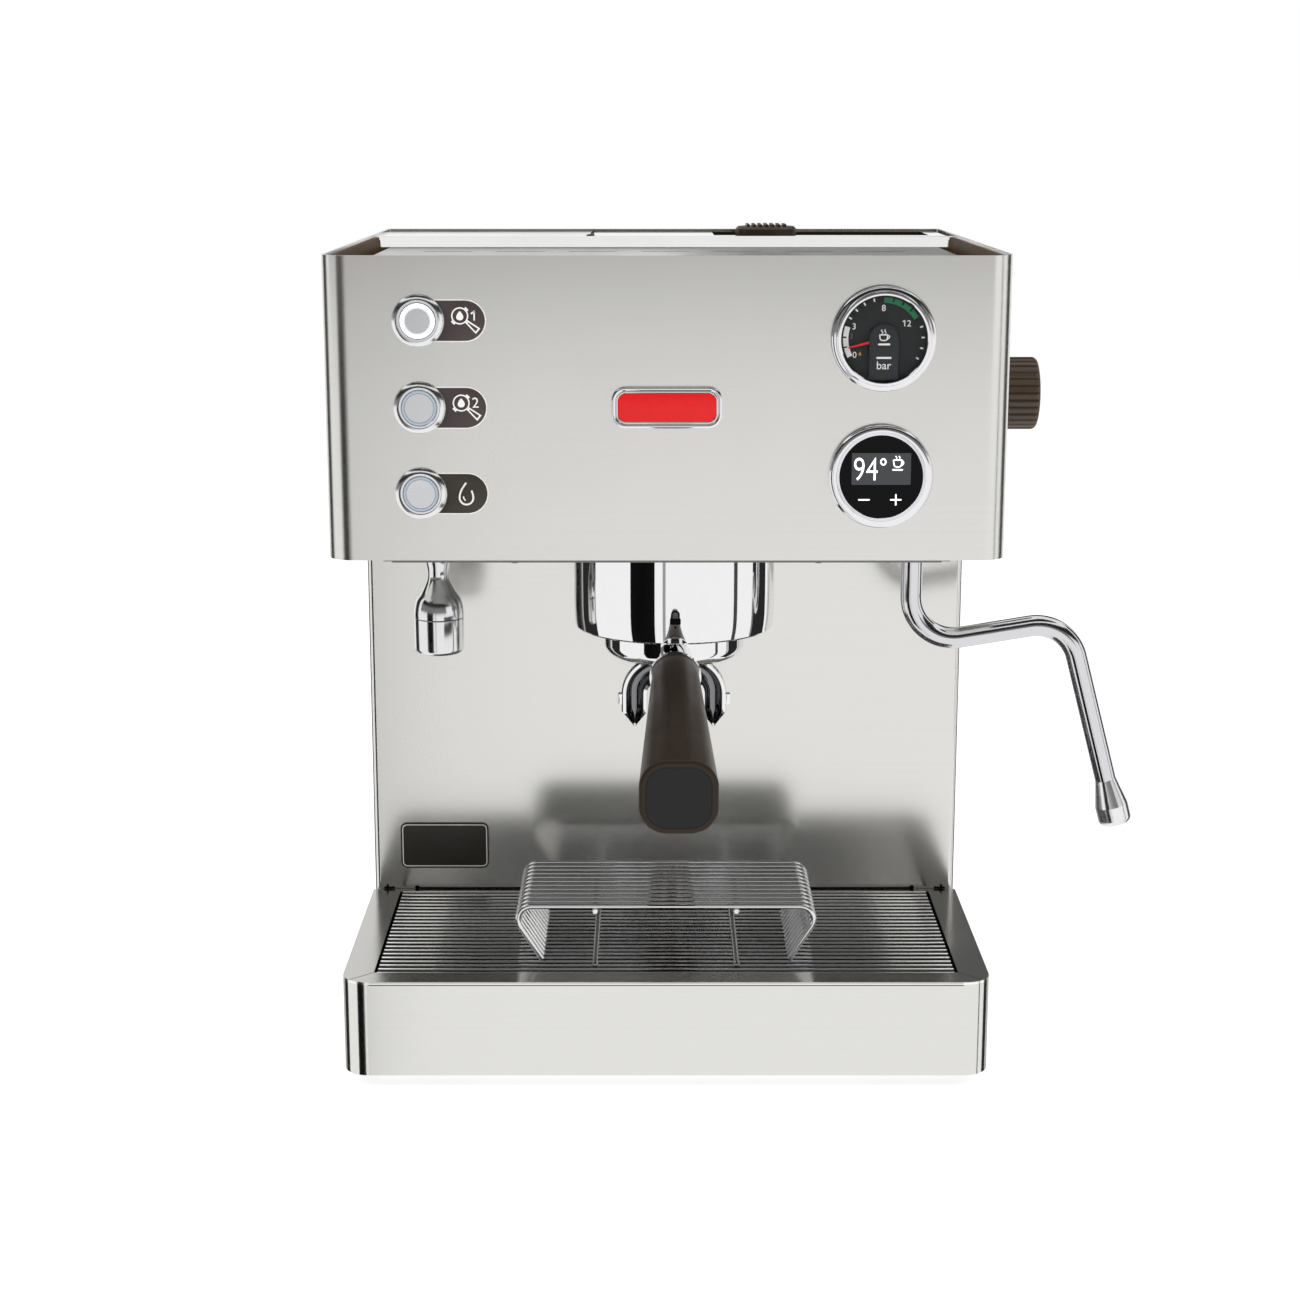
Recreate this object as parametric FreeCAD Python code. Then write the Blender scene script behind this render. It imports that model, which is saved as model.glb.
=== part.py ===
import FreeCAD, Part
import math
import os
from FreeCAD import Vector

# Espresso machine, in millimetres. X points to the user's right, Y away from the user, Z up.
# The origin is on the counter, under the middle of the body.

# Body casings
HEAD_HEIGHT = 132.8
SHEET = 1.5
HEAD_CORNER_RADIUS = 12.0
UNDER_HEAD = 194.9
COLUMN_SETBACK = 132.4
COLUMN_BEND_RADIUS = 3.0
COLUMN_LAP = 12.0
GROUND_GAP = 7.0
SLIP = 0.15
RUNNING_FIT = 0.08
SHOW_GAP = 0.4

# Underside of the head
FLOOR_SIDE_INSET = 24.7
FLOOR_SHEET = 1.0
FLOOR_INSET = 3.0
FLOOR_LAP = 8.0
FLANGE_FRONT = 14.0

# Base and feet
FOOT_HEIGHT = 9.0
FOOT_RADIUS = 13.0
FOOT_TOP_RADIUS = 10.5
FOOT_EDGE = 1.5
FOOT_STUD_RADIUS = 3.0
FOOT_SIDE_INSET = 40.0
FOOT_END_INSET = 36.0
TONGUE_SIDE_GAP = 9.0
TONGUE_INSET = 5.0
BASE_FLANGE = 18.0

# Rear panel
REAR_FLANGE = 11.0
VENT_COUNT = 8
VENT_PITCH = 9.0
VENT_LENGTH = 86.0
VENT_HEIGHT = 4.0
VENT_INSET = 62.0
VENT_ABOVE_COLUMN = 12.0
SWITCH_INSET = 54.0
SWITCH_Z = 62.0
SWITCH_WIDTH = 22.0
SWITCH_HEIGHT = 30.0
SWITCH_BORDER = 3.0
SWITCH_FLANGE = 2.0
SWITCH_DEPTH = 20.0
ROCKER_TILT = 8.0
ROCKER_PROUD = 2.0
ROCKER_THICKNESS = 9.0
GLAND_INSET = 38.0
GLAND_Z = 36.0
GLAND_RADIUS = 8.0
GLAND_CABLE_RADIUS = 4.0
GLAND_LIP = 3.0
GLAND_LENGTH = 12.0

# Cup warmer on top of the head
DECK_DROP = 6.5
DECK_SHEET = 1.0
DECK_EDGE = 6.0
DECK_HALF_WIDTH = 141.0
DECK_DEPTH = 204.0
DECK_FRONT_GAP = 3.0
DECK_REAR_GAP = 1.5
DECK_SIDE_GAP = 6.0
RAIL_WALL = 1.5
RAIL_LEDGE = 14.0
RAIL_LEDGE_HEIGHT = 3.0
RAIL_TOP_DROP = 1.5
DECK_SLOT_ROWS = 4
DECK_SLOT_COLUMNS = 7
DECK_SLOT_LENGTH = 24.0
DECK_SLOT_WIDTH = 4.0
DECK_SLOT_PITCH_X = 36.0
DECK_SLOT_PITCH_Y = 40.0

# Rear deck and water tank
REAR_DECK_DEPTH = 68.0
RISER_DEPTH = 12.0
REAR_DECK_DROP = 1.0
TANK_WIDTH = 180.0
TANK_CLEARANCE = 4.0
TANK_WALL = 2.5
TANK_HEIGHT = 234.0
TANK_CORNER_RADIUS = 8.0
TANK_SPIGOT_RADIUS = 8.0
TANK_SPIGOT_LENGTH = 12.0
TANK_SPIGOT_BORE = 4.0
TANK_SPIGOT_INSET = 30.0
LID_SHEET = 1.5
LID_OVERHANG = 1.5
LID_PLUG_DEPTH = 6.0
LID_WELL_WIDTH = 112.0
LID_WELL_DEPTH = 4.5
LID_WELL_BORDER = 4.0
CAP_RADIUS = 16.0
CAP_PLUG_RADIUS = 12.0
CAP_PLUG_LENGTH = 3.5
CAP_HEIGHT = 9.5
CAP_INSET = 28.0
CAP_RIDGES = 7
CAP_RIDGE_WIDTH = 1.6
CAP_RIDGE_HEIGHT = 1.2
CRADLE_LIP = 14.0
DOCK_WALL = 3.5
DOCK_HEIGHT = 18.0

# Brew group
GROUP_OFFSET = 4.0
GROUP_SETBACK = 62.0
RING_RADIUS = 45.6
RING_TAPER = 0.7
RING_TAPER_HEIGHT = 18.5
RING_DROP = 41.6
RING_BORE = 38.0
RING_EDGE = 1.2
LEDGE_BORE = 33.9
LEDGE_HEIGHT = 4.9
LUG_RADIUS = 37.3
LUG_HEIGHT = 4.6
LUG_ANGLE = 32.0
ENTRY_ANGLE = 40.0
LOCK_TURN = 45.0
SEAL_GAP = 0.2
GASKET_HEIGHT = 7.0
GASKET_BORE = 29.8
GASKET_RADIUS = 36.5
SCREEN_RADIUS = 28.2
SCREEN_HEIGHT = 4.0
SCREEN_SHEET = 1.0
SCREEN_HOLE_RADIUS = 1.2
NECK_RADIUS = 30.0
NECK_RISE = 4.0

# Portafilter
BOWL_RADIUS = 32.8
BOWL_WALL = 2.8
BOWL_DEPTH = 24.0
BOWL_FLOOR = 3.0
BOWL_EDGE = 6.0
BASKET_WALL = 0.8
BASKET_FLANGE = 1.0
BASKET_DEPTH = 19.0
HANDLE_TILT = 7.8
HANDLE_AXIS_DROP = 4.8
STEM_RADIUS = 8.0
STEM_LENGTH = 15.0
TANG_RADIUS = 4.0
TANG_LENGTH = 45.0
FERRULE_LENGTH = 9.5
FERRULE_RADIUS = 11.6
HANDLE_LENGTH = 134.0
HANDLE_ROOT_SIZE = 21.0
HANDLE_ROOT_CORNER = 10.0
HANDLE_END_SIZE = 31.8
HANDLE_END_CORNER = 11.5
HANDLE_END_EDGE = 1.2
CAP_PLATE_SIZE = 26.0
CAP_PLATE_CORNER = 8.5
CAP_PLATE_DEPTH = 2.4
SPOUT_HUB_RADIUS = 9.0
SPOUT_HUB_HEIGHT = 9.0
SPOUT_SPREAD = 18.8
SPOUT_TUBE_RADIUS = 5.4
SPOUT_TUBE_WALL = 1.2
SPOUT_BEND = 11.0
SPOUT_DROP = 35.0
SPOUT_TIP_CUT = 4.0
SPOUT_NUB_WIDTH = 1.6
SPOUT_NUB_HEIGHT = 5.0
SPOUT_NUB_DROP = 19.0

# Hot water spout
WATER_INSET = 43.6
WATER_SETBACK = 60.0
WATER_TOP_RADIUS = 6.0
WATER_NECK_RADIUS = 4.5
WATER_NECK_DROP = 15.7
WATER_BELL_RADIUS = 11.8
WATER_BELL_DROP = 35.2
WATER_SEAM_DROP = 37.5
NOZZLE_LENGTH = 17.0
NOZZLE_EDGE = 2.5
NOZZLE_BORE = 8.0
NOZZLE_BORE_DEPTH = 10.0
WATER_STUD_RISE = 9.0

# Steam wand
WAND_INSET = 35.2
WAND_SETBACK = 60.0
WAND_RADIUS = 5.0
WAND_SOCKET_RADIUS = 8.0
WAND_COLLAR_RADIUS = 10.0
WAND_SOCKET_DROP = 9.0
WAND_SOCKET_RISE = 14.0
WAND_ELBOW_DROP = 51.3
WAND_BEND = 20.0
WAND_ARM = 74.8
WAND_ARM_RISE = 9.4
WAND_LEG = 80.0
WAND_LEG_LEAN = 15.1
WAND_TIP_RADIUS = 7.9
WAND_TIP_LENGTH = 22.5
WAND_TIP_FLARE = 13.0
WAND_TIP_EDGE = 3.0
WAND_SPIGOT_RADIUS = 3.4
WAND_SPIGOT_LENGTH = 6.0
WAND_TIP_HOLE_RADIUS = 1.0

# Steam valve and knob
VALVE_SETBACK = 92.0
VALVE_RISE = 63.8
VALVE_RADIUS = 11.0
VALVE_PORT_RADIUS = 6.5
VALVE_PORT_LENGTH = 7.0
SPINDLE_RADIUS = 4.0
SPINDLE_REACH = 22.0
KNOB_RADIUS = 17.0
KNOB_LENGTH = 24.0
KNOB_GAP = 1.0
KNOB_CHAMFER = 5.0
KNOB_BACK_RADIUS = 12.0
KNOB_EDGE = 2.5
KNOB_FLUTES = 30
KNOB_FLUTE_WIDTH = 1.8
KNOB_FLUTE_DEPTH = 0.9

# Drip tray
TRAY_SIDE_STEP = 1.0
TRAY_TOP = 52.3
TRAY_PROUD = 4.3
TRAY_SHEET = 1.2
TRAY_CORNER_RADIUS = 12.0
TRAY_REAR_GAP = 0.5
SIDE_RIM = 14.0
FRONT_RIM = 13.0
REAR_RIM = 4.0
BASIN_WALL = 2.0
BASIN_LEDGE = 5.0
BASIN_FLOAT = 0.3
GRID_WIRES = 23
WIRE_RADIUS = 1.4
GRID_ROD_RADIUS = 2.0
GRID_ROD_SPREAD = 115.0
GRID_BAR_SPREAD = 33.0
GRID_BAR_SETBACK = 8.0
GRID_SINK = 0.6
GRID_GAP = 1.0
WELD = 0.5
WIRE_SIDES = 8

# Cup stand
STAND_SETBACK = 25.4
STAND_DEPTH = 68.6
STAND_WIRES = 12
STAND_HEIGHT = 28.1
STAND_FOOT_HALF = 57.5
STAND_TOP_HALF = 74.6
STAND_BEND = 6.5
STAND_ROD_SPREAD = 33.0

# Push buttons
BUTTON_INSET = 42.4
BUTTON_TOP_DROP = 27.8
BUTTON_LOW_RISE = 29.8
BUTTON_BEZEL_RADIUS = 11.3
BUTTON_CAP_RADIUS = 7.8
BUTTON_CAP_LENGTH = 9.0
BUTTON_PROUD = 2.6
BUTTON_RECESS = 0.4
BUTTON_DISH = 0.6
BUTTON_BARREL_WALL = 1.5
BUTTON_BARREL_LENGTH = 22.0
BUTTON_NUT_WALL = 3.0
BUTTON_NUT_LENGTH = 4.0
BUTTON_EDGE = 0.8

# Pressure gauge
GAUGE_INSET = 56.5
GAUGE_DROP = 35.4
GAUGE_RADIUS = 22.85
GAUGE_DIAL_RADIUS = 19.4
GAUGE_LIP = 0.5
GAUGE_PROUD = 4.6
GAUGE_GLASS = 0.8
GAUGE_DIAL_SHEET = 1.0
GAUGE_BARREL_LENGTH = 24.0
GAUGE_BARREL_WALL = 1.0
GAUGE_EDGE = 1.6
NEEDLE_LENGTH = 16.0
NEEDLE_TAIL = 4.0
NEEDLE_ROOT_WIDTH = 1.4
NEEDLE_TIP_WIDTH = 0.5
NEEDLE_HUB_RADIUS = 2.0
NEEDLE_SHEET = 0.5
NEEDLE_PIN_RADIUS = 0.7
NEEDLE_LIFT = 0.9
NEEDLE_REST_ANGLE = 194.0

# Temperature display
DISPLAY_INSET = 56.6
DISPLAY_RISE = 37.6
DISPLAY_RADIUS = 22.7
DISPLAY_GLASS_RADIUS = 18.1
DISPLAY_PROUD = 4.0
DISPLAY_GLASS_RECESS = 0.8
DISPLAY_BARREL_LENGTH = 20.0
DISPLAY_EDGE = 1.6
PANEL_HOLE_FIT = 0.2

# Inside: boilers, pump, valve, board and pipes
BREW_BOILER_RADIUS = 43.0
BREW_BOILER_HEIGHT = 84.0
BOILER_DOME = 10.0
NIPPLE_RADIUS = 5.0
NIPPLE_LENGTH = 6.0
BOILER_FLANGE = 4.0
BOILER_FLANGE_HEIGHT = 6.0
STEAM_BOILER_RADIUS = 38.0
STEAM_BOILER_HEIGHT = 150.0
STEAM_BOILER_SETBACK = 72.0
STAND_RING_HEIGHT = 48.0
STAND_RING_WALL = 2.0
STAND_LEG_OPENING = 30.0
PUMP_COIL_LENGTH = 50.0
PUMP_COIL_WIDTH = 46.0
PUMP_COIL_HEIGHT = 48.0
PUMP_SETBACK = 36.0
PUMP_END_RADIUS = 11.0
PUMP_END_LENGTH = 16.0
PUMP_MOUNT_RADIUS = 9.0
PUMP_MOUNT_WAIST = 6.5
PUMP_MOUNT_HEIGHT = 20.0
PUMP_MOUNT_SPREAD = 14.0
SOLENOID_OFFSET = 68.0
SOLENOID_SIZE = 28.0
SOLENOID_HEIGHT = 36.0
SOLENOID_STEM_RADIUS = 6.0
SOLENOID_STEM_RISE = 12.0
BOARD_WIDTH = 104.0
BOARD_HEIGHT = 84.0
BOARD_SHEET = 1.6
BOARD_STANDOFF = 7.0
BOARD_STANDOFF_RADIUS = 3.0
BOARD_SIDE_GAP = 12.85
BOARD_BOTTOM = 140.0
PIPE_RADIUS = 3.0
PIPE_BEND = 9.0
HOSE_RADIUS = 5.0
HOSE_BEND = 10.0
STEAM_PIPE_SETBACK = 52.0
WATER_PIPE_RISE = 34.0

# Places worked out from the sizes above
BODY_WIDTH = 2 * (DECK_HALF_WIDTH + DECK_SIDE_GAP + RAIL_WALL + SHEET)
BODY_DEPTH = SHEET + DECK_FRONT_GAP + DECK_DEPTH + DECK_REAR_GAP + REAR_DECK_DEPTH
HALF = BODY_WIDTH / 2
FRONT = -BODY_DEPTH / 2
BACK = BODY_DEPTH / 2
HEAD_BOTTOM = TRAY_TOP + UNDER_HEAD
HEAD_TOP = HEAD_BOTTOM + HEAD_HEIGHT
FLOOR_BOTTOM = HEAD_BOTTOM - FLOOR_SHEET
FLOOR_HALF_WIDTH = HALF - FLOOR_SIDE_INSET
BACKSPLASH = FRONT + COLUMN_SETBACK
COLUMN_HALF = HALF - SHEET - SLIP
COLUMN_INNER = COLUMN_HALF - SHEET
COLUMN_TOP = HEAD_BOTTOM + COLUMN_LAP
BASE_TOP = FOOT_HEIGHT + SHEET
INNER_BACK = BACK - SHEET
VENT_CENTRE_X = -HALF + VENT_INSET
SWITCH_X = HALF - SWITCH_INSET
GLAND_X = -HALF + GLAND_INSET
GROUP_Y = FRONT + GROUP_SETBACK
WATER_X = -HALF + WATER_INSET
WATER_Y = FRONT + WATER_SETBACK
WAND_X = HALF - WAND_INSET
WAND_Y = FRONT + WAND_SETBACK
VALVE_Y = FRONT + VALVE_SETBACK
VALVE_Z = HEAD_BOTTOM + VALVE_RISE
DECK_TOP = HEAD_TOP - DECK_DROP
REAR_DECK_TOP = HEAD_TOP - REAR_DECK_DROP
RISER_Y = BACK - REAR_DECK_DEPTH
TANK_RIGHT = HALF - SHEET - TANK_CLEARANCE
TANK_LEFT = TANK_RIGHT - TANK_WIDTH
TANK_FRONT = RISER_Y + SHEET + TANK_CLEARANCE
TANK_BACK = INNER_BACK - TANK_CLEARANCE
TANK_TOP = REAR_DECK_TOP - LID_SHEET
TANK_BOTTOM = TANK_TOP - TANK_HEIGHT
TANK_SPIGOT_X = TANK_RIGHT - TANK_SPIGOT_INSET
TANK_MIDDLE_Y = (TANK_FRONT + TANK_BACK) / 2
RING_BOTTOM = HEAD_BOTTOM - RING_DROP
LUG_BOTTOM = RING_BOTTOM + LEDGE_HEIGHT + SHOW_GAP
RIM_TOP = LUG_BOTTOM + LUG_HEIGHT
GASKET_BOTTOM = RIM_TOP + BASKET_FLANGE + SEAL_GAP
GROUP_FACE = GASKET_BOTTOM + GASKET_HEIGHT
BOWL_BOTTOM = RIM_TOP - BOWL_DEPTH
HANDLE_PIVOT = Vector(GROUP_OFFSET, GROUP_Y, RING_BOTTOM - HANDLE_AXIS_DROP)
STEM_END = BOWL_RADIUS + STEM_LENGTH
HANDLE_ROOT = STEM_END + FERRULE_LENGTH
HANDLE_END = HANDLE_ROOT + HANDLE_LENGTH
TRAY_HALF = HALF - TRAY_SIDE_STEP
TONGUE_HALF_WIDTH = TRAY_HALF - TONGUE_SIDE_GAP
TRAY_FRONT = FRONT - TRAY_PROUD
TRAY_BACK = BACKSPLASH - TRAY_REAR_GAP
FRAME_BOTTOM = TRAY_TOP - TRAY_SHEET
WINDOW_HALF = TRAY_HALF - SIDE_RIM
WINDOW_FRONT = TRAY_FRONT + FRONT_RIM
WINDOW_BACK = TRAY_BACK - REAR_RIM
GRID_TOP = TRAY_TOP - GRID_SINK
GRID_ROD_Z = GRID_TOP - 2 * WIRE_RADIUS - GRID_ROD_RADIUS + WELD
LEDGE_TOP = GRID_ROD_Z - GRID_ROD_RADIUS
STAND_TOP = GRID_TOP + STAND_HEIGHT
BUTTON_X = -HALF + BUTTON_INSET
BUTTON_TOP_Z = HEAD_TOP - BUTTON_TOP_DROP
BUTTON_LOW_Z = HEAD_BOTTOM + BUTTON_LOW_RISE
BUTTON_ROWS = (BUTTON_TOP_Z, (BUTTON_TOP_Z + BUTTON_LOW_Z) / 2, BUTTON_LOW_Z)
BUTTON_BORE = BUTTON_CAP_RADIUS + RUNNING_FIT
BUTTON_BARREL_RADIUS = BUTTON_BORE + BUTTON_BARREL_WALL
GAUGE_CENTRE = Vector(HALF - GAUGE_INSET, FRONT, HEAD_TOP - GAUGE_DROP)
GAUGE_BARREL_RADIUS = GAUGE_DIAL_RADIUS + SLIP + GAUGE_BARREL_WALL
DISPLAY_CENTRE = Vector(HALF - DISPLAY_INSET, FRONT, HEAD_BOTTOM + DISPLAY_RISE)
DISPLAY_BARREL_RADIUS = DISPLAY_GLASS_RADIUS + SLIP + GAUGE_BARREL_WALL
BREW_BOILER_BOTTOM = HEAD_BOTTOM + NECK_RISE
STEAM_BOILER_X = (TANK_LEFT - COLUMN_INNER) / 2
STEAM_BOILER_Y = BACKSPLASH + STEAM_BOILER_SETBACK
STEAM_BOILER_BOTTOM = BASE_TOP + STAND_RING_HEIGHT
STEAM_BOILER_TOP = STEAM_BOILER_BOTTOM + STEAM_BOILER_HEIGHT
BOARD_CENTRE_X = COLUMN_INNER - BOARD_SIDE_GAP - BOARD_WIDTH / 2
PUMP_Y = BACKSPLASH + PUMP_SETBACK
PUMP_BOTTOM = BASE_TOP + PUMP_MOUNT_HEIGHT
PUMP_AXIS_Z = PUMP_BOTTOM + PUMP_COIL_HEIGHT / 2
PUMP_RIGHT = TANK_SPIGOT_X - 2 * HOSE_BEND
PUMP_CENTRE_X = PUMP_RIGHT - PUMP_END_LENGTH - PUMP_COIL_LENGTH / 2
PUMP_LEFT = PUMP_CENTRE_X - PUMP_COIL_LENGTH / 2 - PUMP_END_LENGTH
BREW_RISER_X = PUMP_LEFT - 2 * PIPE_BEND
BREW_PORT_Y = GROUP_Y + BREW_BOILER_RADIUS + NIPPLE_LENGTH
BREW_PORT_Z = BREW_BOILER_BOTTOM + BREW_BOILER_HEIGHT / 2
DOCK_BOTTOM = TANK_BOTTOM - SHEET - DOCK_HEIGHT

UP = Vector(0, 0, 1)
RIGHT = Vector(1, 0, 0)
REARWARD = Vector(0, 1, 0)
OVERCUT = 1.0


def block(x0, x1, y0, y1, z0, z1):
    """Box between two corners."""
    return Part.makeBox(x1 - x0, y1 - y0, z1 - z0, Vector(x0, y0, z0))


def rod(start, direction, radius, length):
    """Round bar from a start point along a direction."""
    return Part.makeCylinder(radius, length, start, direction)


def outline(start, steps, place):
    """Closed face; a step is an end point, or a pair of an arc's middle and end."""
    edges = []
    here = start
    for step in list(steps) + [start]:
        if isinstance(step[0], tuple):
            middle, end = step
            edges.append(Part.Arc(place(*here), place(*middle), place(*end)).toShape())
        else:
            end = step
            if math.dist(here, end) > 1e-9:
                edges.append(Part.LineSegment(place(*here), place(*end)).toShape())
        here = end
    return Part.Face(Part.Wire(edges))


def turned(start, steps, base=Vector(0, 0, 0), axis=UP):
    """Solid of revolution of a radius and height outline, set on a base along an axis."""
    face = outline(start, steps, lambda radius, height: Vector(radius, 0, height))
    solid = face.revolve(Vector(0, 0, 0), UP, 360)
    solid.Placement = FreeCAD.Placement(base, FreeCAD.Rotation(UP, axis))
    return solid


def rounded_rectangle(width, height, radius, place):
    """Face of a rectangle with round corners about the local origin."""
    x = width / 2
    y = height / 2
    turn = radius * (1 - math.sqrt(0.5))
    steps = [
        (x - radius, -y), ((x - turn, -y + turn), (x, -y + radius)),
        (x, y - radius), ((x - turn, y - turn), (x - radius, y)),
        (-x + radius, y), ((-x + turn, y - turn), (-x, y - radius)),
        (-x, -y + radius), ((-x + turn, -y + turn), (-x + radius, -y)),
    ]
    return outline((-x + radius, -y), steps, place)


def rounded_block(x0, x1, y0, y1, z0, z1, radius):
    """Upright box with round vertical edges."""
    middle = Vector((x0 + x1) / 2, (y0 + y1) / 2, z0)
    face = rounded_rectangle(x1 - x0, y1 - y0, radius, lambda a, b: middle + Vector(a, b, 0))
    return face.extrude(UP * (z1 - z0))


def front_rounded_block(half, y0, y1, z0, z1, radius):
    """Upright block whose two front vertical edges are round."""
    turn = radius * (1 - math.sqrt(0.5))
    steps = [
        (half - radius, y0), ((half - turn, y0 + turn), (half, y0 + radius)),
        (half, y1), (-half, y1),
        (-half, y0 + radius), ((-half + turn, y0 + turn), (-half + radius, y0)),
    ]
    face = outline((-half + radius, y0), steps, lambda a, b: Vector(a, b, z0))
    return face.extrude(UP * (z1 - z0))


def wrap(half, y0, y1, z0, z1, radius, sheet):
    """Sheet bent round a front and two sides, open at the rear."""
    outer = front_rounded_block(half, y0, y1, z0, z1, radius)
    inner_radius = max(radius - sheet, sheet / 2)
    inner = front_rounded_block(
        half - sheet, y0 + sheet, y1 + OVERCUT, z0 - OVERCUT, z1 + OVERCUT, inner_radius)
    return outer.cut(inner)


def bent_wire(points, bend):
    """Path of straight runs joined by tangent arcs of one radius."""
    edges = []
    here = points[0]
    for before, corner, after in zip(points, points[1:], points[2:]):
        inward = (before - corner).normalize()
        onward = (after - corner).normalize()
        half_turn = inward.getAngle(onward) / 2
        reach = bend / math.tan(half_turn)
        arc_start = corner + inward * reach
        arc_end = corner + onward * reach
        bisector = (inward + onward).normalize()
        arc_middle = corner + bisector * (bend / math.sin(half_turn) - bend)
        edges.append(Part.LineSegment(here, arc_start).toShape())
        edges.append(Part.Arc(arc_start, arc_middle, arc_end).toShape())
        here = arc_end
    edges.append(Part.LineSegment(here, points[-1]).toShape())
    return Part.Wire(edges)


def tube(points, bend, radius):
    """Round bar swept along a bent path."""
    direction = (points[1] - points[0]).normalize()
    section = Part.Wire(Part.makeCircle(radius, points[0], direction))
    return bent_wire(points, bend).makePipeShell([section], True, False)


def wire(points, radius, bend=0.0):
    """Wire of flat-sided section, standing for a round one, along a bent path."""
    turn = FreeCAD.Rotation(UP, (points[1] - points[0]).normalize())
    step = 2 * math.pi / WIRE_SIDES
    reach = radius / math.cos(step / 2)
    angles = [(index + 0.5) * step for index in range(WIRE_SIDES)]
    corners = [points[0] + turn.multVec(Vector(math.cos(a), math.sin(a), 0)) * reach for a in angles]
    section = Part.makePolygon(corners + corners[:1])
    return bent_wire(points, bend).makePipeShell([section], True, False)


def joined(shapes):
    """One solid from touching or crossing shapes."""
    first = shapes[0]
    return first.fuse(list(shapes[1:])).removeSplitter()


def export(name, shape):
    """Write one sub-part."""
    shape.exportStep(os.path.join("parts", name + ".step"))


def panel_hole(centre, radius):
    """Cutter for a round hole in the front panel."""
    return rod(centre - REARWARD * OVERCUT, REARWARD, radius + PANEL_HOLE_FIT, SHEET + 2 * OVERCUT)


def boiler_stand():
    """Ring welded on the base plate under the steam boiler, open between its legs."""
    outer = STEAM_BOILER_RADIUS
    foot = Vector(STEAM_BOILER_X, STEAM_BOILER_Y, FOOT_HEIGHT)
    height = STEAM_BOILER_BOTTOM - FOOT_HEIGHT
    ring = rod(foot, UP, outer, height).cut(rod(foot, UP, outer - STAND_RING_WALL, height))
    half = STAND_LEG_OPENING / 2
    low = BASE_TOP + STAND_RING_WALL
    high = STEAM_BOILER_BOTTOM - STAND_RING_WALL * 2
    openings = [
        block(foot.x - half, foot.x + half, foot.y - outer - OVERCUT, foot.y + outer + OVERCUT, low, high),
        block(foot.x - outer - OVERCUT, foot.x + outer + OVERCUT, foot.y - half, foot.y + half, low, high),
    ]
    return ring.cut(openings)


def make_base():
    """Base plate with its tongue under the drip tray, and the four feet."""
    inner_half = COLUMN_INNER - SLIP
    main_front = BACKSPLASH + COLUMN_BEND_RADIUS + SHEET
    main_back = INNER_BACK - SLIP
    plate = block(-inner_half, inner_half, main_front, main_back, FOOT_HEIGHT, BASE_TOP)
    tongue = block(-TONGUE_HALF_WIDTH, TONGUE_HALF_WIDTH, FRONT + TONGUE_INSET, main_front + OVERCUT,
                   FOOT_HEIGHT, BASE_TOP)
    pieces = [plate, tongue]
    for side in (-1, 1):
        edges = sorted((side * inner_half, side * (inner_half - SHEET)))
        pieces.append(block(*edges, main_front, main_back - REAR_FLANGE - SLIP,
                            FOOT_HEIGHT, BASE_TOP + BASE_FLANGE))
    base = joined(pieces + [boiler_stand()])
    feet = []
    stud_holes = []
    for x in (-HALF + FOOT_SIDE_INSET, HALF - FOOT_SIDE_INSET):
        for y in (FRONT + FOOT_END_INSET, BACK - FOOT_END_INSET):
            bottom = Vector(x, y, 0)
            steps = [(FOOT_RADIUS - FOOT_EDGE, 0), (FOOT_RADIUS, FOOT_EDGE), (FOOT_TOP_RADIUS, FOOT_HEIGHT),
                     (FOOT_STUD_RADIUS, FOOT_HEIGHT), (FOOT_STUD_RADIUS, BASE_TOP), (0, BASE_TOP)]
            feet.append(turned((0, 0), steps, bottom))
            stud_holes.append(rod(bottom, UP, FOOT_STUD_RADIUS + SLIP, BASE_TOP + OVERCUT))
    export("base_plate", base.cut(stud_holes))
    export("feet", Part.makeCompound(feet))


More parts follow.
